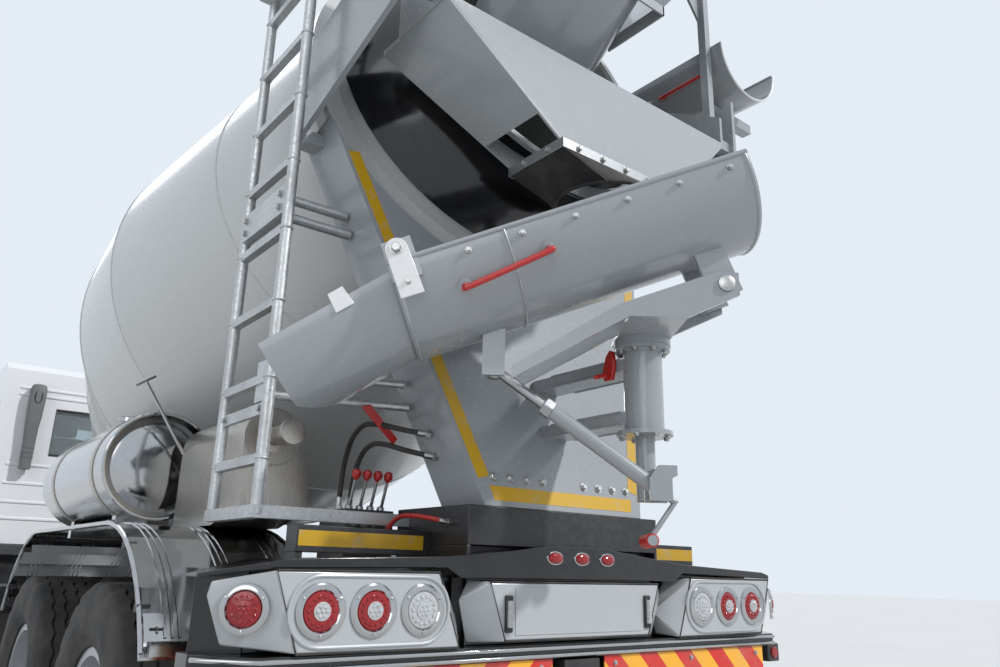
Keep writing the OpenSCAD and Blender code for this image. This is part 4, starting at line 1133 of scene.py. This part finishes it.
def cab_trim():
    slats = Shape("grille_slats", "plastic_black", "cab")
    for k in range(7):
        z = 1.372 + 0.064 * k
        section = [(0.002, z - 0.01), (0.014, z - 0.016), (0.016, z + 0.004), (0.002, z + 0.022)]
        slats.prism([(-0.745, CAB_FRONT + out, z) for out, z in section], (1.49, 0, 0))
    for x in (-0.5, -0.25, 0, 0.25, 0.5):
        slats.box((x - 0.01, x + 0.01), (CAB_FRONT + 0.001, CAB_FRONT + 0.01), (1.34, 1.79))
    slats.box((-0.756, 0.756), (CAB_FRONT - 0.001, CAB_FRONT + 0.003), (1.334, 1.796))
    slats.done(0.002)
    rim = Shape("grille_frame", "chrome", "cab")
    rim.pipe(flat(GRILLE, CAB_FRONT + 0.008), 0.006, 8, closed=True)
    wipers = Shape("wipers", "plastic_black", "cab")
    for x in (-0.62, 0.02, 0.66):
        foot = V((x, screen_y(1.93) + 0.001, 1.93))
        tip = V((x - 0.3, screen_y(2.2) + 0.024, 2.2))
        wipers.lathe([(0.022, -0.004), (0.022, 0.014), (0.014, 0.02)], foot, (0, 1, 0.24), 16)
        wipers.rod(foot + V((0, 0.016, 0)), tip, 0.008, 0.005, 10)
        wipers.pipe([tip + V((dx, -0.008, 0)) for dx in (-0.29, 0, 0.29)], 0.007, 8)
    handles = Shape("grab_handles", "plastic_black", "cab")
    for s in SIDES:
        x = s * (CAB_HALF - 0.0005)
        out = x + s * 0.04
        low, high = GRAB_Z
        route = flat([(x, low), (out, low + 0.03), (out, high - 0.03), (x, high)], GRAB_Y)
        handles.pipe(smooth_path(route, 6), 0.013, 12)
        for z in GRAB_Z:
            handles.lathe([(0.024, 0), (0.024, 0.006), (0.015, 0.01)], (x, GRAB_Y, z), (s, 0, 0), 16)
    finish(rim, wipers, handles)
    for side, s in (("left", -1), ("right", 1)):
        body = "door_%s_body" % side
        latch = Shape("door_handle_" + side, "plastic_black", body)
        x = s * CAB_HALF
        latch.box((x - s * 0.001, x + s * 0.006), (3.07, 3.27), (1.76, 1.82))
        bow = [(0, 3.09), (0.034, 3.1), (0.04, 3.17), (0.034, 3.24), (0, 3.25)]
        latch.pipe(smooth_path([(x + s * out, y, 1.79) for out, y in bow], 5), 0.01, 10)
        latch.done(0.002)
        low = Shape("door_moulding_" + side, "plastic_grey", body)
        low.box((x - s * 0.001, x + s * 0.008), (3.035, 3.985), (1.33, 1.42))
        low.done(0.004)
    seams = Shape("cab_rear_ribs", "cab_white", "cab")
    for z in (1.48, 1.62, 1.78, 1.94, 2.56, 2.62):
        section = [(0.001, z - 0.018), (-0.008, z - 0.008), (-0.008, z + 0.008), (0.001, z + 0.018)]
        seams.prism([(-1.02, CAB_REAR + out, z) for out, z in section], (2.04, 0, 0))
    seams.done(0.003)
    seal = Shape("window_seals", "rubber_black", "cab")
    seal.pipe(flat(REAR_WINDOW, CAB_REAR - 0.001), 0.01, 8, closed=True)
    seal.pipe([(x, screen_y(z) - 0.001, z) for x, z in WINDSCREEN], 0.01, 8, closed=True)
    seal.done()
    faces = Shape("mirror_faces", "mirror", "cab")
    faces.boxes((1.1705, 1.1725), (4.055, 4.225), (2.02, 2.38))
    faces.done(0.001)
    marks = Shape("cab_side_lamps", "amber_lens", "cab")
    marks.boxes((CAB_HALF - 0.02, CAB_HALF + 0.004), (2.56, 2.64), (1.42, 1.455))
    marks.done(0.004)


def snorkel():
    """Air intake: a moulded duct with a bulged head, an oval opening and a waist, for the plain box."""
    duct = Shape("intake_duct", "plastic_grey", "cab")
    rings = []
    for z, x, half, deep in INTAKE:
        rings.append([(*rounded((x, INTAKE_Y), (half, deep), 0.5, t), z) for t in turns(28)])
    duct.loft(rings)
    for z in (2.0, 2.04, 2.08):
        duct.pipe([(x, y, z) for x, y, low in rings[1]], 0.004, 6, closed=True)
    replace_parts(duct.done(0, 45), "air_intake")
    mouth = Shape("intake_mouth", "rubber_black", "cab")
    oval = [(INTAKE_X + 0.034 * cos(a), INTAKE_Y - 0.062, 2.53 + 0.062 * sin(a)) for a in turns(28)]
    mouth.prism(oval, (0, 0.004, 0))
    mouth.done()


def nose_trim():
    glassy = Shape("head_lamps", "clear_lens")
    bright = Shape("head_lamp_bowls", "chrome")
    amber = Shape("turn_lamps", "amber_lens")
    for s in SIDES:
        for x in (0.885, 0.985):
            at = (s * x, 4.3215, 0.68)
            bright.lathe([(0.042, 0), (0.044, 0.012), (0.04, 0.014), (0.02, 0.004)], at, AHEAD, 28)
            glassy.lathe([(0.039, 0.009), (0.036, 0.017), (0.022, 0.021), (0.006, 0.022)], at, AHEAD, 28)
    finish(glassy, bright)
    amber.boxes((1.05, 1.1), (4.3205, 4.334), (0.625, 0.735))
    amber.done(0.004)
    vents = Shape("bumper_vents", "plastic_black")
    for k in range(5):
        z = 0.718 + 0.031 * k
        vents.box((-0.392, 0.392), (4.334, 4.346), (z - 0.005, z + 0.005))
    vents.done(0.002)
    treads = Shape("step_treads", "aluminium")
    for z in (0.5605, 0.8605):
        for k in range(6):
            y = 3.73 + 0.058 * k
            treads.boxes((1.0, 1.2), (y - 0.01, y + 0.01), (z, z + 0.004))
    treads.done(0.001)


# Seats: crowned cushions with sewn channels
CUSHION_CROWN = 0.16
CHANNEL_AT = (-0.52, 0.52)
CHANNEL_W = 0.05
CHANNEL_DEEP = 0.13
WAIST = 0.025
SEAT_X = 0.6


def cushion(name, at, size, tilt):
    """at is the middle, size the full extents; the top is crowned and two channels are sewn along it."""
    bm = bmesh.new()
    bmesh.ops.create_cube(bm, size=2)
    bmesh.ops.subdivide_edges(bm, edges=bm.edges, cuts=13, use_grid_fill=True)
    for v in bm.verts:
        p = v.co / sum(abs(a) ** 7 for a in v.co) ** (1 / 7)
        channel = sum(exp(-((p.x - c) / CHANNEL_W) ** 2) for c in CHANNEL_AT)
        swell = 1 + CUSHION_CROWN * (1 - p.x ** 2) * (1 - p.y ** 2)
        p.z *= swell - CHANNEL_DEEP * channel * max(0, 1 - p.y ** 4)
        p.x *= 1 - WAIST * (1 - p.y ** 2)
        v.co = [a * b / 2 for a, b in zip(p, size)]
    obj = from_bmesh(name, bm)
    obj.data.transform(shift(*at) @ turn_about("X", tilt))
    obj.data.shade_smooth()
    obj.data.materials.append(TRIM["seat_cloth"])
    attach(obj, "cab")


def seats():
    for side, s in (("left", -1), ("right", 1)):
        cushion("seat_base_" + side, (s * SEAT_X, 2.985, 1.66), (0.49, 0.52, 0.13), 1.5)
        cushion("seat_back_" + side, (s * SEAT_X, 2.69, 1.965), (0.49, 0.56, 0.11), 100.8)
        cushion("head_rest_" + side, (s * SEAT_X, 2.596, 2.335), (0.25, 0.19, 0.08), 94)


# Chassis: bolt rows, tank straps and cap, exhaust guard, battery lid
RAIL_X = 0.425
EXHAUST_AT = (0.88, 2.04, 0)
EXHAUST_GUARD = (1.345, 2.205)
FUEL_ARC = 0.113


def chassis_trim():
    rows = Shape("rail_bolts", "chassis_black")
    for s in SIDES:
        for k in range(36):
            for z in (0.79, 0.94):
                rows.bolt((s * RAIL_X, -3.3 + 0.2 * k, z), (s, 0, 0), 0.01)
    rows.done()
    straps = Shape("fuel_tank_straps", "steel")
    for y in (0.73, 1.48):
        upper = arc((1.07, 0.97), FUEL_ARC, 90, 0, 6, (0, 2), y)
        lower = arc((1.07, 0.59), FUEL_ARC, 0, -90, 6, (0, 2), y)
        path = [V((0.5, y, 1.083))] + upper + lower + [V((0.5, y, 0.477))]
        rings = []
        for k, p in enumerate(path):
            ahead = path[min(k + 1, len(path) - 1)] - path[max(k - 1, 0)]
            n = V((-ahead.z, 0, ahead.x)).normalized() * 0.002
            corners = ((1, -0.025), (1, 0.025), (-1, 0.025), (-1, -0.025))
            rings.append([p + n * a + V((0, b, 0)) for a, b in corners])
        straps.loft(rings)
    straps.done(0, 50)
    cap = Shape("fuel_cap", "plastic_black")
    cap.lathe([(0.052, 0.0), (0.056, 0.004), (0.056, 0.022), (0.05, 0.026)], (1.0, 0.64, 1.1195), UP, 28)
    cap.box((0.99, 1.01), (0.594, 0.686), (1.14, 1.158))
    cap.done(0.002)
    pipe = Shape("exhaust_guard", "steel", "root", shift(*EXHAUST_AT))
    for k in range(11):
        pipe.ring((0, 0, 1.35 + 0.085 * k), UP, 0.066, 0.004, 28, 6)
    for t in turns(8):
        pipe.rod(*[polar(0.066, t, z) for z in EXHAUST_GUARD], 0.004, sides=8)
    for z in (1.35, 2.2):
        for t in turns(4):
            pipe.rod(polar(0.053, t, z), polar(0.067, t, z), 0.004, sides=6)
    pipe.ring((0, 0, 2.509), UP, 0.051, 0.005, 28, 8)
    pipe.done()
    lids = Shape("battery_lid_ribs", "plastic_black")
    for k in range(5):
        y = 1.0 + 0.14 * k
        lids.box((-1.166, -1.159), (y - 0.02, y + 0.02), (0.56, 0.92))
    lids.done(0.004)


# Forms that the solids only block out
def outline_prism(outline, low, high, axis=1):
    """A bare mesh object: an outline of number pairs drawn out between two levels along one axis."""
    shape = Shape("tool", None)
    shape.loft([flat(outline, low, axis), flat(outline, high, axis)])
    return shape.bare()


def carve(obj, operation, tool):
    mod = obj.modifiers.new(operation, "BOOLEAN")
    mod.operation = operation
    mod.solver = "EXACT"
    mod.object = tool
    bpy.context.view_layer.update()
    mesh = bpy.data.meshes.new_from_object(obj.evaluated_get(bpy.context.evaluated_depsgraph_get()))
    obj.modifiers.clear()
    obj.data = mesh
    bpy.data.objects.remove(tool)


BUMPER_HALF = 1.245
BUMPER_LOW = 0.86
LAMP_WALL = -3.52
PLATE_WALL = -3.575
CROWN_T = 0.012


def crown(drop=0.0):
    top = [(0.12, 1.212), (0.32, 1.19), (0.55, 1.167), (1.07, 1.147), (BUMPER_HALF, 1.105)]
    return mirrored([(x, z - drop) for x, z in top] + [(BUMPER_HALF, BUMPER_LOW - drop)])


def bumper():
    """The moulding with chamfered ends, a crowned top and a recess round the lamps, hollow from the front."""
    h = BUMPER_HALF
    plan = [(h - 0.13, BUMPER_FACE), (h, BUMPER_FACE + 0.15), (h, -3.4)]
    body = outline_prism(mirrored(plan), BUMPER_LOW, 1.26, 2)
    carve(body, "INTERSECT", outline_prism(crown(), -3.7, -3.3))
    window = [(0.5, 1.105), (0.55, 1.134), (1.1, 1.122), (1.3, 1.085), (1.3, 0.905)]
    recess = outline_prism(mirrored(window), -3.7, -3.301)
    wall = [(0.432, PLATE_WALL), (0.445, LAMP_WALL), (1.115, LAMP_WALL), (h, LAMP_WALL + 0.15),
            (h + 0.1, -3.25)]
    carve(recess, "DIFFERENCE", outline_prism(mirrored(wall), 0, 2, 2))
    carve(body, "DIFFERENCE", recess)
    hollow = [(0.44, -3.5603), (0.45, LAMP_WALL + CROWN_T), (1.108, LAMP_WALL + CROWN_T),
              (h - 0.014, LAMP_WALL + 0.16), (h - 0.014, -3.299)]
    inside = outline_prism(mirrored(hollow), 0, 2, 2)
    carve(inside, "INTERSECT", outline_prism(crown(CROWN_T), -3.701, -3.298))
    carve(body, "DIFFERENCE", inside)
    notch = [(-0.46, 1.112), (0.46, 1.112), (0.46, 1.3), (-0.46, 1.3)]
    carve(body, "DIFFERENCE", outline_prism(notch, -3.606, -3.2))
    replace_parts(dress(body, "bumper_moulding", "root", "gloss_black", 0.006, 30), "rear_bumper")


LAMP_BLOCK = (
    (LAMP_FACE, LAMP_CORNERS),
    (-3.55, ((0.452, 0.994), (0.54, 1.11), (1.23, 1.086), (1.238, 1.05), (1.19, 0.93), (0.48, 0.915))),
    (LAMP_WALL - 0.0003, ((0.525, 0.915), (0.56, 1.105), (1.11, 1.1), (1.11, 0.925))),
)
PLATE_BLOCK = (
    (LAMP_FACE, PLATE_CORNERS), (-3.586, ((0.47, 1.04), (0.4, 1.1), (0.4, 0.912))),
    (PLATE_WALL - 0.0003, ((0.43, 1.1), (0.43, 0.912))),
)


def housings():
    """Grey boxes that stand in the moulding's recess: one on each side for the lamps, one for the plate."""
    for name, block, sides in (
        ("lamp_housing_left", LAMP_BLOCK, (-1,)), ("lamp_housing_right", LAMP_BLOCK, (1,)),
        ("plate_housing", PLATE_BLOCK, SIDES),
    ):
        points = [(s * x, y, z) for y, corners in block for x, z in corners for s in sides]
        dress(hull(points), name, "root", "housing_grey", 0.006, 20)
    boards = Shape("marker_boards", "marker_board")
    boards.boxes((0.12, 1.04), (BOARD_FACE, BOARD_FACE + 0.006), (0.65, 0.8597))
    boards.done(0.001)
    stiff = Shape("marker_board_rails", "chassis_black")
    stiff.boxes((0.16, 1.0), (-3.6295, -3.605), (0.82, 0.8597))
    for x in (0.3, 0.8):
        stiff.boxes((x - 0.02, x + 0.02), (-3.6295, -3.6), (0.68, 0.862))
    stiff.done(0.002)


BASE_HALF = 0.45
BASE_Y = (-3.6, -3.172)


def base_box():
    """Black open box round the pedestal's foot, and a cross beam on each side."""
    base = Shape("base_box", "chassis_black")
    base.box((-BASE_HALF, BASE_HALF), BASE_Y, (1.205, 1.331))
    base.boxes((BASE_HALF - 0.013, BASE_HALF), BASE_Y, (1.131, 1.206))
    base.boxes((0.449, 0.93), (-3.39, -3.31), (1.17, 1.25))
    base.boxes((0.905, 0.93), (-3.385, -3.315), (1.135, 1.171))
    base.box((-BASE_HALF, BASE_HALF), BASE_Y, (1.1205, 1.132))
    base.box((-0.012, 0.012), (-3.596, -3.555), (1.131, 1.206))
    base.box((-0.438, 0.438), (-3.556, -3.5505), (1.131, 1.206))
    base.done(0.003)


COLLAR_Y = -3.8
OUTLET_MID = -3.75
OUTLET_LESS = 0.17


def collar():
    """Rubber sleeve that turns the collector's square outlet round."""
    sleeve = Shape("collar_sleeve", "rubber_black")
    angles = turns(48)

    def square(half, z):
        ring = []
        for t in angles:
            grow = 1 / max(abs(cos(t)), abs(sin(t)))
            ring.append((half * cos(t) * grow, OUTLET_MID + (half - OUTLET_LESS) * sin(t) * grow, z))
        return ring

    def round_end(r, z):
        return [(r * cos(t), COLLAR_Y + r * sin(t), z) for t in angles]

    sleeve.loft([square(0.316, 2.574), square(0.314, 2.54), round_end(0.196, 2.445), round_end(0.188, 2.444),
                 square(0.304, 2.538), square(0.311, 2.574)], closed=True)
    sleeve.ring((0, COLLAR_Y, 2.447), UP, 0.195, 0.007, 48, 8)
    sleeve.done(0, 40)


def half_pipe(shape, r, thick, length):
    """A trough along the place's X axis, open upward."""
    shape.loft([trough_arc(r, x) + trough_arc(r - thick, x, 0, -180) for x in (0, length)])


FUNNEL_TOP = ((-0.62, 0.62), (-4.16, -3.38), 3.92)
FUNNEL_LOW = ((-0.33, 0.33), (-3.84, -3.52), 3.48)
FUNNEL_T = 0.008
FUNNEL_POST_Y = (-3.74, -3.7)
ARM_END_Y = -3.76


def rectangle(x, y, z, inset=0.0):
    left, right, near, far = x[0] + inset, x[1] - inset, y[0] + inset, y[1] - inset
    return [(left, near, z), (right, near, z), (right, far, z), (left, far, z)]


def hopper_form():
    """Charging funnel with a rolled rim, its spout down into the drum's mouth, posts, arms and ribs."""
    top, low = FUNNEL_TOP, FUNNEL_LOW
    funnel = Shape("charging_hopper", "mixer_grey")
    walls = [rectangle(*top), rectangle(*low), rectangle(*low, FUNNEL_T), rectangle(*top, FUNNEL_T)]
    funnel.loft(walls, closed=True)
    funnel.pipe(rectangle(*top), 0.011, 8, closed=True)
    funnel.box((-0.334, 0.334), (-3.844, -3.836), (3.44, 3.5))
    funnel.boxes((0.326, 0.334), (-3.844, -3.516), (3.44, 3.5))
    funnel.boxes((0.764, 0.906), (-3.74, -3.69), (3.03, 3.08))
    funnel.boxes((0.69, 0.906), (-3.09, -3.01), (2.69, 2.74))
    funnel.boxes((0.764, 0.8), FUNNEL_POST_Y, (3.08, 3.9))
    funnel.boxes((0.612, 0.8), FUNNEL_POST_Y, (3.88, 3.91))
    funnel.boxes((0.905, 0.925), (ARM_END_Y - 0.0001, ARM_END_Y), (2.94, 3.3))
    arm = [(-2.99, 2.69), (-2.99, 3.07), (ARM_END_Y, 3.3), (ARM_END_Y, 2.94)]
    gusset = [(0.764, 3.7), (0.764, 3.88), (0.62, 3.88)]
    for s in SIDES:
        funnel.prism(flat(arm, s * 0.905, 0), (s * 0.02, 0, 0))
        funnel.prism(flat([(s * x, z) for x, z in gusset], -3.716), (0, 0.012, 0))
    funnel.place = shift(0, -3.79, 3.79) @ turn_about("Z", 90) @ turn_about("Y", 38)
    half_pipe(funnel, 0.322, FUNNEL_T, 0.66)
    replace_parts(funnel.done(0, 40), "hopper")


def tank_form():
    """Water tank with rolled rims beyond its dished ends, on two cradles."""
    r, length = TANK_R, TANK_Y[1] - TANK_Y[0]
    lip = r - 0.014
    tank = Shape("tank_shell", "polished_steel")
    end = [(0.001, 0.016), (0.08, 0.018), (0.14, 0.024), (0.19, 0.038), (lip, 0.056), (lip, 0.001),
           (lip + 0.005, 0), (r - 0.003, 0), (r, 0.003)]
    profile = end + [(wide, length - h) for wide, h in reversed(end)]
    tank.lathe(profile, (TANK_AT[0], TANK_Y[0], TANK_AT[1]), AHEAD, 72)
    for y in (-1.95, -1.15):
        tank.box((-1.1, -0.88), (y, y + 0.06), (1.2703, 1.33))
    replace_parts(tank.done(0, 40), "water_tank")


def interior_form():
    """Dashboard with its cowl, steering wheel on its column, and the seats' plinths."""
    dash = Shape("dashboard", "interior", "cab")
    section = [(3.905, 1.52), (3.885, 1.72), (3.96, 1.86), (4.08, 1.898), (4.3, 1.898), (4.3, 1.502)]
    dash.prism(flat(section, -1.045, 0), (2.09, 0, 0))
    cowl = [(3.96, 1.858), (3.99, 1.94), (4.09, 1.94), (4.12, 1.896)]
    dash.prism(flat(cowl, 0.38, 0), (0.44, 0, 0))
    dash.box((-0.17, 0.17), (3.79, 3.9), (1.32, 1.64))
    dash.boxes((0.42, 0.78), (2.76, 3.14), (1.317, 1.6))
    dash.place = shift(SEAT_X, 3.7, 1.83) @ turn_about("X", -115)
    dash.rod((0, 0, -0.002), (0, 0, 0.26), 0.03)
    dash.lathe([(0.04, -0.014), (0.048, -0.01), (0.048, 0.006), (0.036, 0.012)], (0, 0, 0), UP, 28)
    dash.ring((0, 0, 0), UP, 0.215, 0.014, 56, 12)
    for t in turns(3):
        spoke = polar(1, t + pi / 6)
        dash.rod(spoke * 0.03, spoke * 0.208, 0.013, 0.01, 10)
    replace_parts(dash.done(0.004), "cab_interior")


FRONT_AXLE_Y = 2.9
FRONT_GUARD = ((0.77, 0.65), (1.238, 0.65), (1.238, 0.64), (1.244, 0.64), (1.244, 0.656), (0.77, 0.656))
MIRROR_AT = (4.14, 2.2)
MIRROR_HEAD = ((1.172, 0.9), (1.18, 1.0), (1.222, 1.0), (1.24, 0.86))


def front_guards():
    """Arched guards over the front wheels, and mirrors folded beside the cab's front corners."""
    guards = Shape("front_wheel_guards", "plastic_black", "root", shift(0, FRONT_AXLE_Y, AXLE_Z))
    angles = [radians(28 + 124 * k / 24) for k in range(25)]
    for s in SIDES:
        guards.loft([[(s * x, r * cos(t), r * sin(t)) for x, r in FRONT_GUARD] for t in angles])
    guards.boxes((0.365, 1.2), (-0.02, 0.02), (0.624, 0.652))
    guards.boxes((0.365, 0.425), (-0.02, 0.02), (0.4705, 0.652))
    guards.done(0, 40)
    heads = Shape("mirror_heads", "plastic_black", "cab")
    for s in SIDES:
        heads.loft([[(s * x, *rounded(MIRROR_AT, (0.1 * grow, 0.21 * grow), 0.4, t)) for t in turns(32)]
                    for x, grow in MIRROR_HEAD])
        for z in (2.06, 2.34):
            heads.rod((s * 1.145, 4.1, z), (s * 1.176, 4.1, z), 0.014, sides=12)
    heads.done(0, 50)


def lower_arms():
    """Lower arms and plates of the ladder, from its stiles to the pedestal's side."""
    arms = Shape("ladder_lower_arms", "galvanised")
    for z, x in ((1.675, -0.516), (1.755, -0.54)):
        arms.rod((LADDER_X, -3.15, z), (x, -3.31, z), 0.015, sides=14)
    plate = (LADDER_X - 0.008, LADDER_X + 0.008)
    arms.box(plate, (-3.23, -3.13), (1.645, 1.785))
    arms.box(plate, (-3.23, -2.84), (1.6, 1.64))
    arms.done(0.002)


# Studio: a pale floor, a pale world and soft lamps
FLOOR_HALF = 60
SKY_LIGHT = (0.42, 0.46, 0.52)
SKY_SEEN = (0.78, 0.84, 0.91)
SUNS = (
    ("key", (7, -11, 11), 2.3, 3),
    ("fill", (-10, -8, 6), 0.55, 40),
    ("front", (3, 12, 9), 0.45, 40),
)


def make_studio():
    mesh = bpy.data.meshes.new("floor")
    mesh.from_pydata(rectangle((-FLOOR_HALF, FLOOR_HALF), (-FLOOR_HALF, FLOOR_HALF), 0), [], [(0, 1, 2, 3)])
    floor = link_new("floor", mesh)
    m = Mat("floor")
    m.set(Base_Color=m.mix(m.noise(0.6, 4), rgb((0.66, 0.66, 0.65)), rgb((0.72, 0.72, 0.71))), Roughness=0.8)
    mesh.materials.append(m.m)
    world = bpy.data.worlds.new("world")
    bpy.context.scene.world = world
    world.use_nodes = True
    sky = Nodes(world.node_tree)
    back = sky.t.nodes["Background"]
    path = sky.node("ShaderNodeLightPath")
    seen = path.outputs["Is Camera Ray"]
    for ray in ("Is Glossy Ray", "Is Transmission Ray"):
        seen = sky.math("MAXIMUM", seen, path.outputs[ray])
    sky.link(sky.mix(seen, rgb(SKY_LIGHT), rgb(SKY_SEEN)), back.inputs["Color"])
    back.inputs["Strength"].default_value = 1.0
    for name, start, strength, spread in SUNS:
        lamp = bpy.data.lights.new(name, "SUN")
        lamp.energy = strength
        lamp.angle = radians(spread)
        obj = link_new(name, lamp)
        obj.location = start
        obj.rotation_euler = (-V(start)).to_track_quat("-Z", "Y").to_euler()
    bpy.context.scene.view_settings.view_transform = "Standard"


# Making, with the camera and the hoses first
make_camera()
make_hoses()
dress_nodes()
for make in (
    rear_lamps, rear_trim, pedestal_trim, chute_trim, strut_trim, hopper_trim, ladder_trim, mudguard_trim,
    tank_trim, valve_trim, wheels, drum_trim, cab_trim, snorkel, nose_trim, seats, chassis_trim, bumper,
    housings, base_box, collar, hopper_form, tank_form, interior_form, front_guards, lower_arms, make_studio,
):
    make()
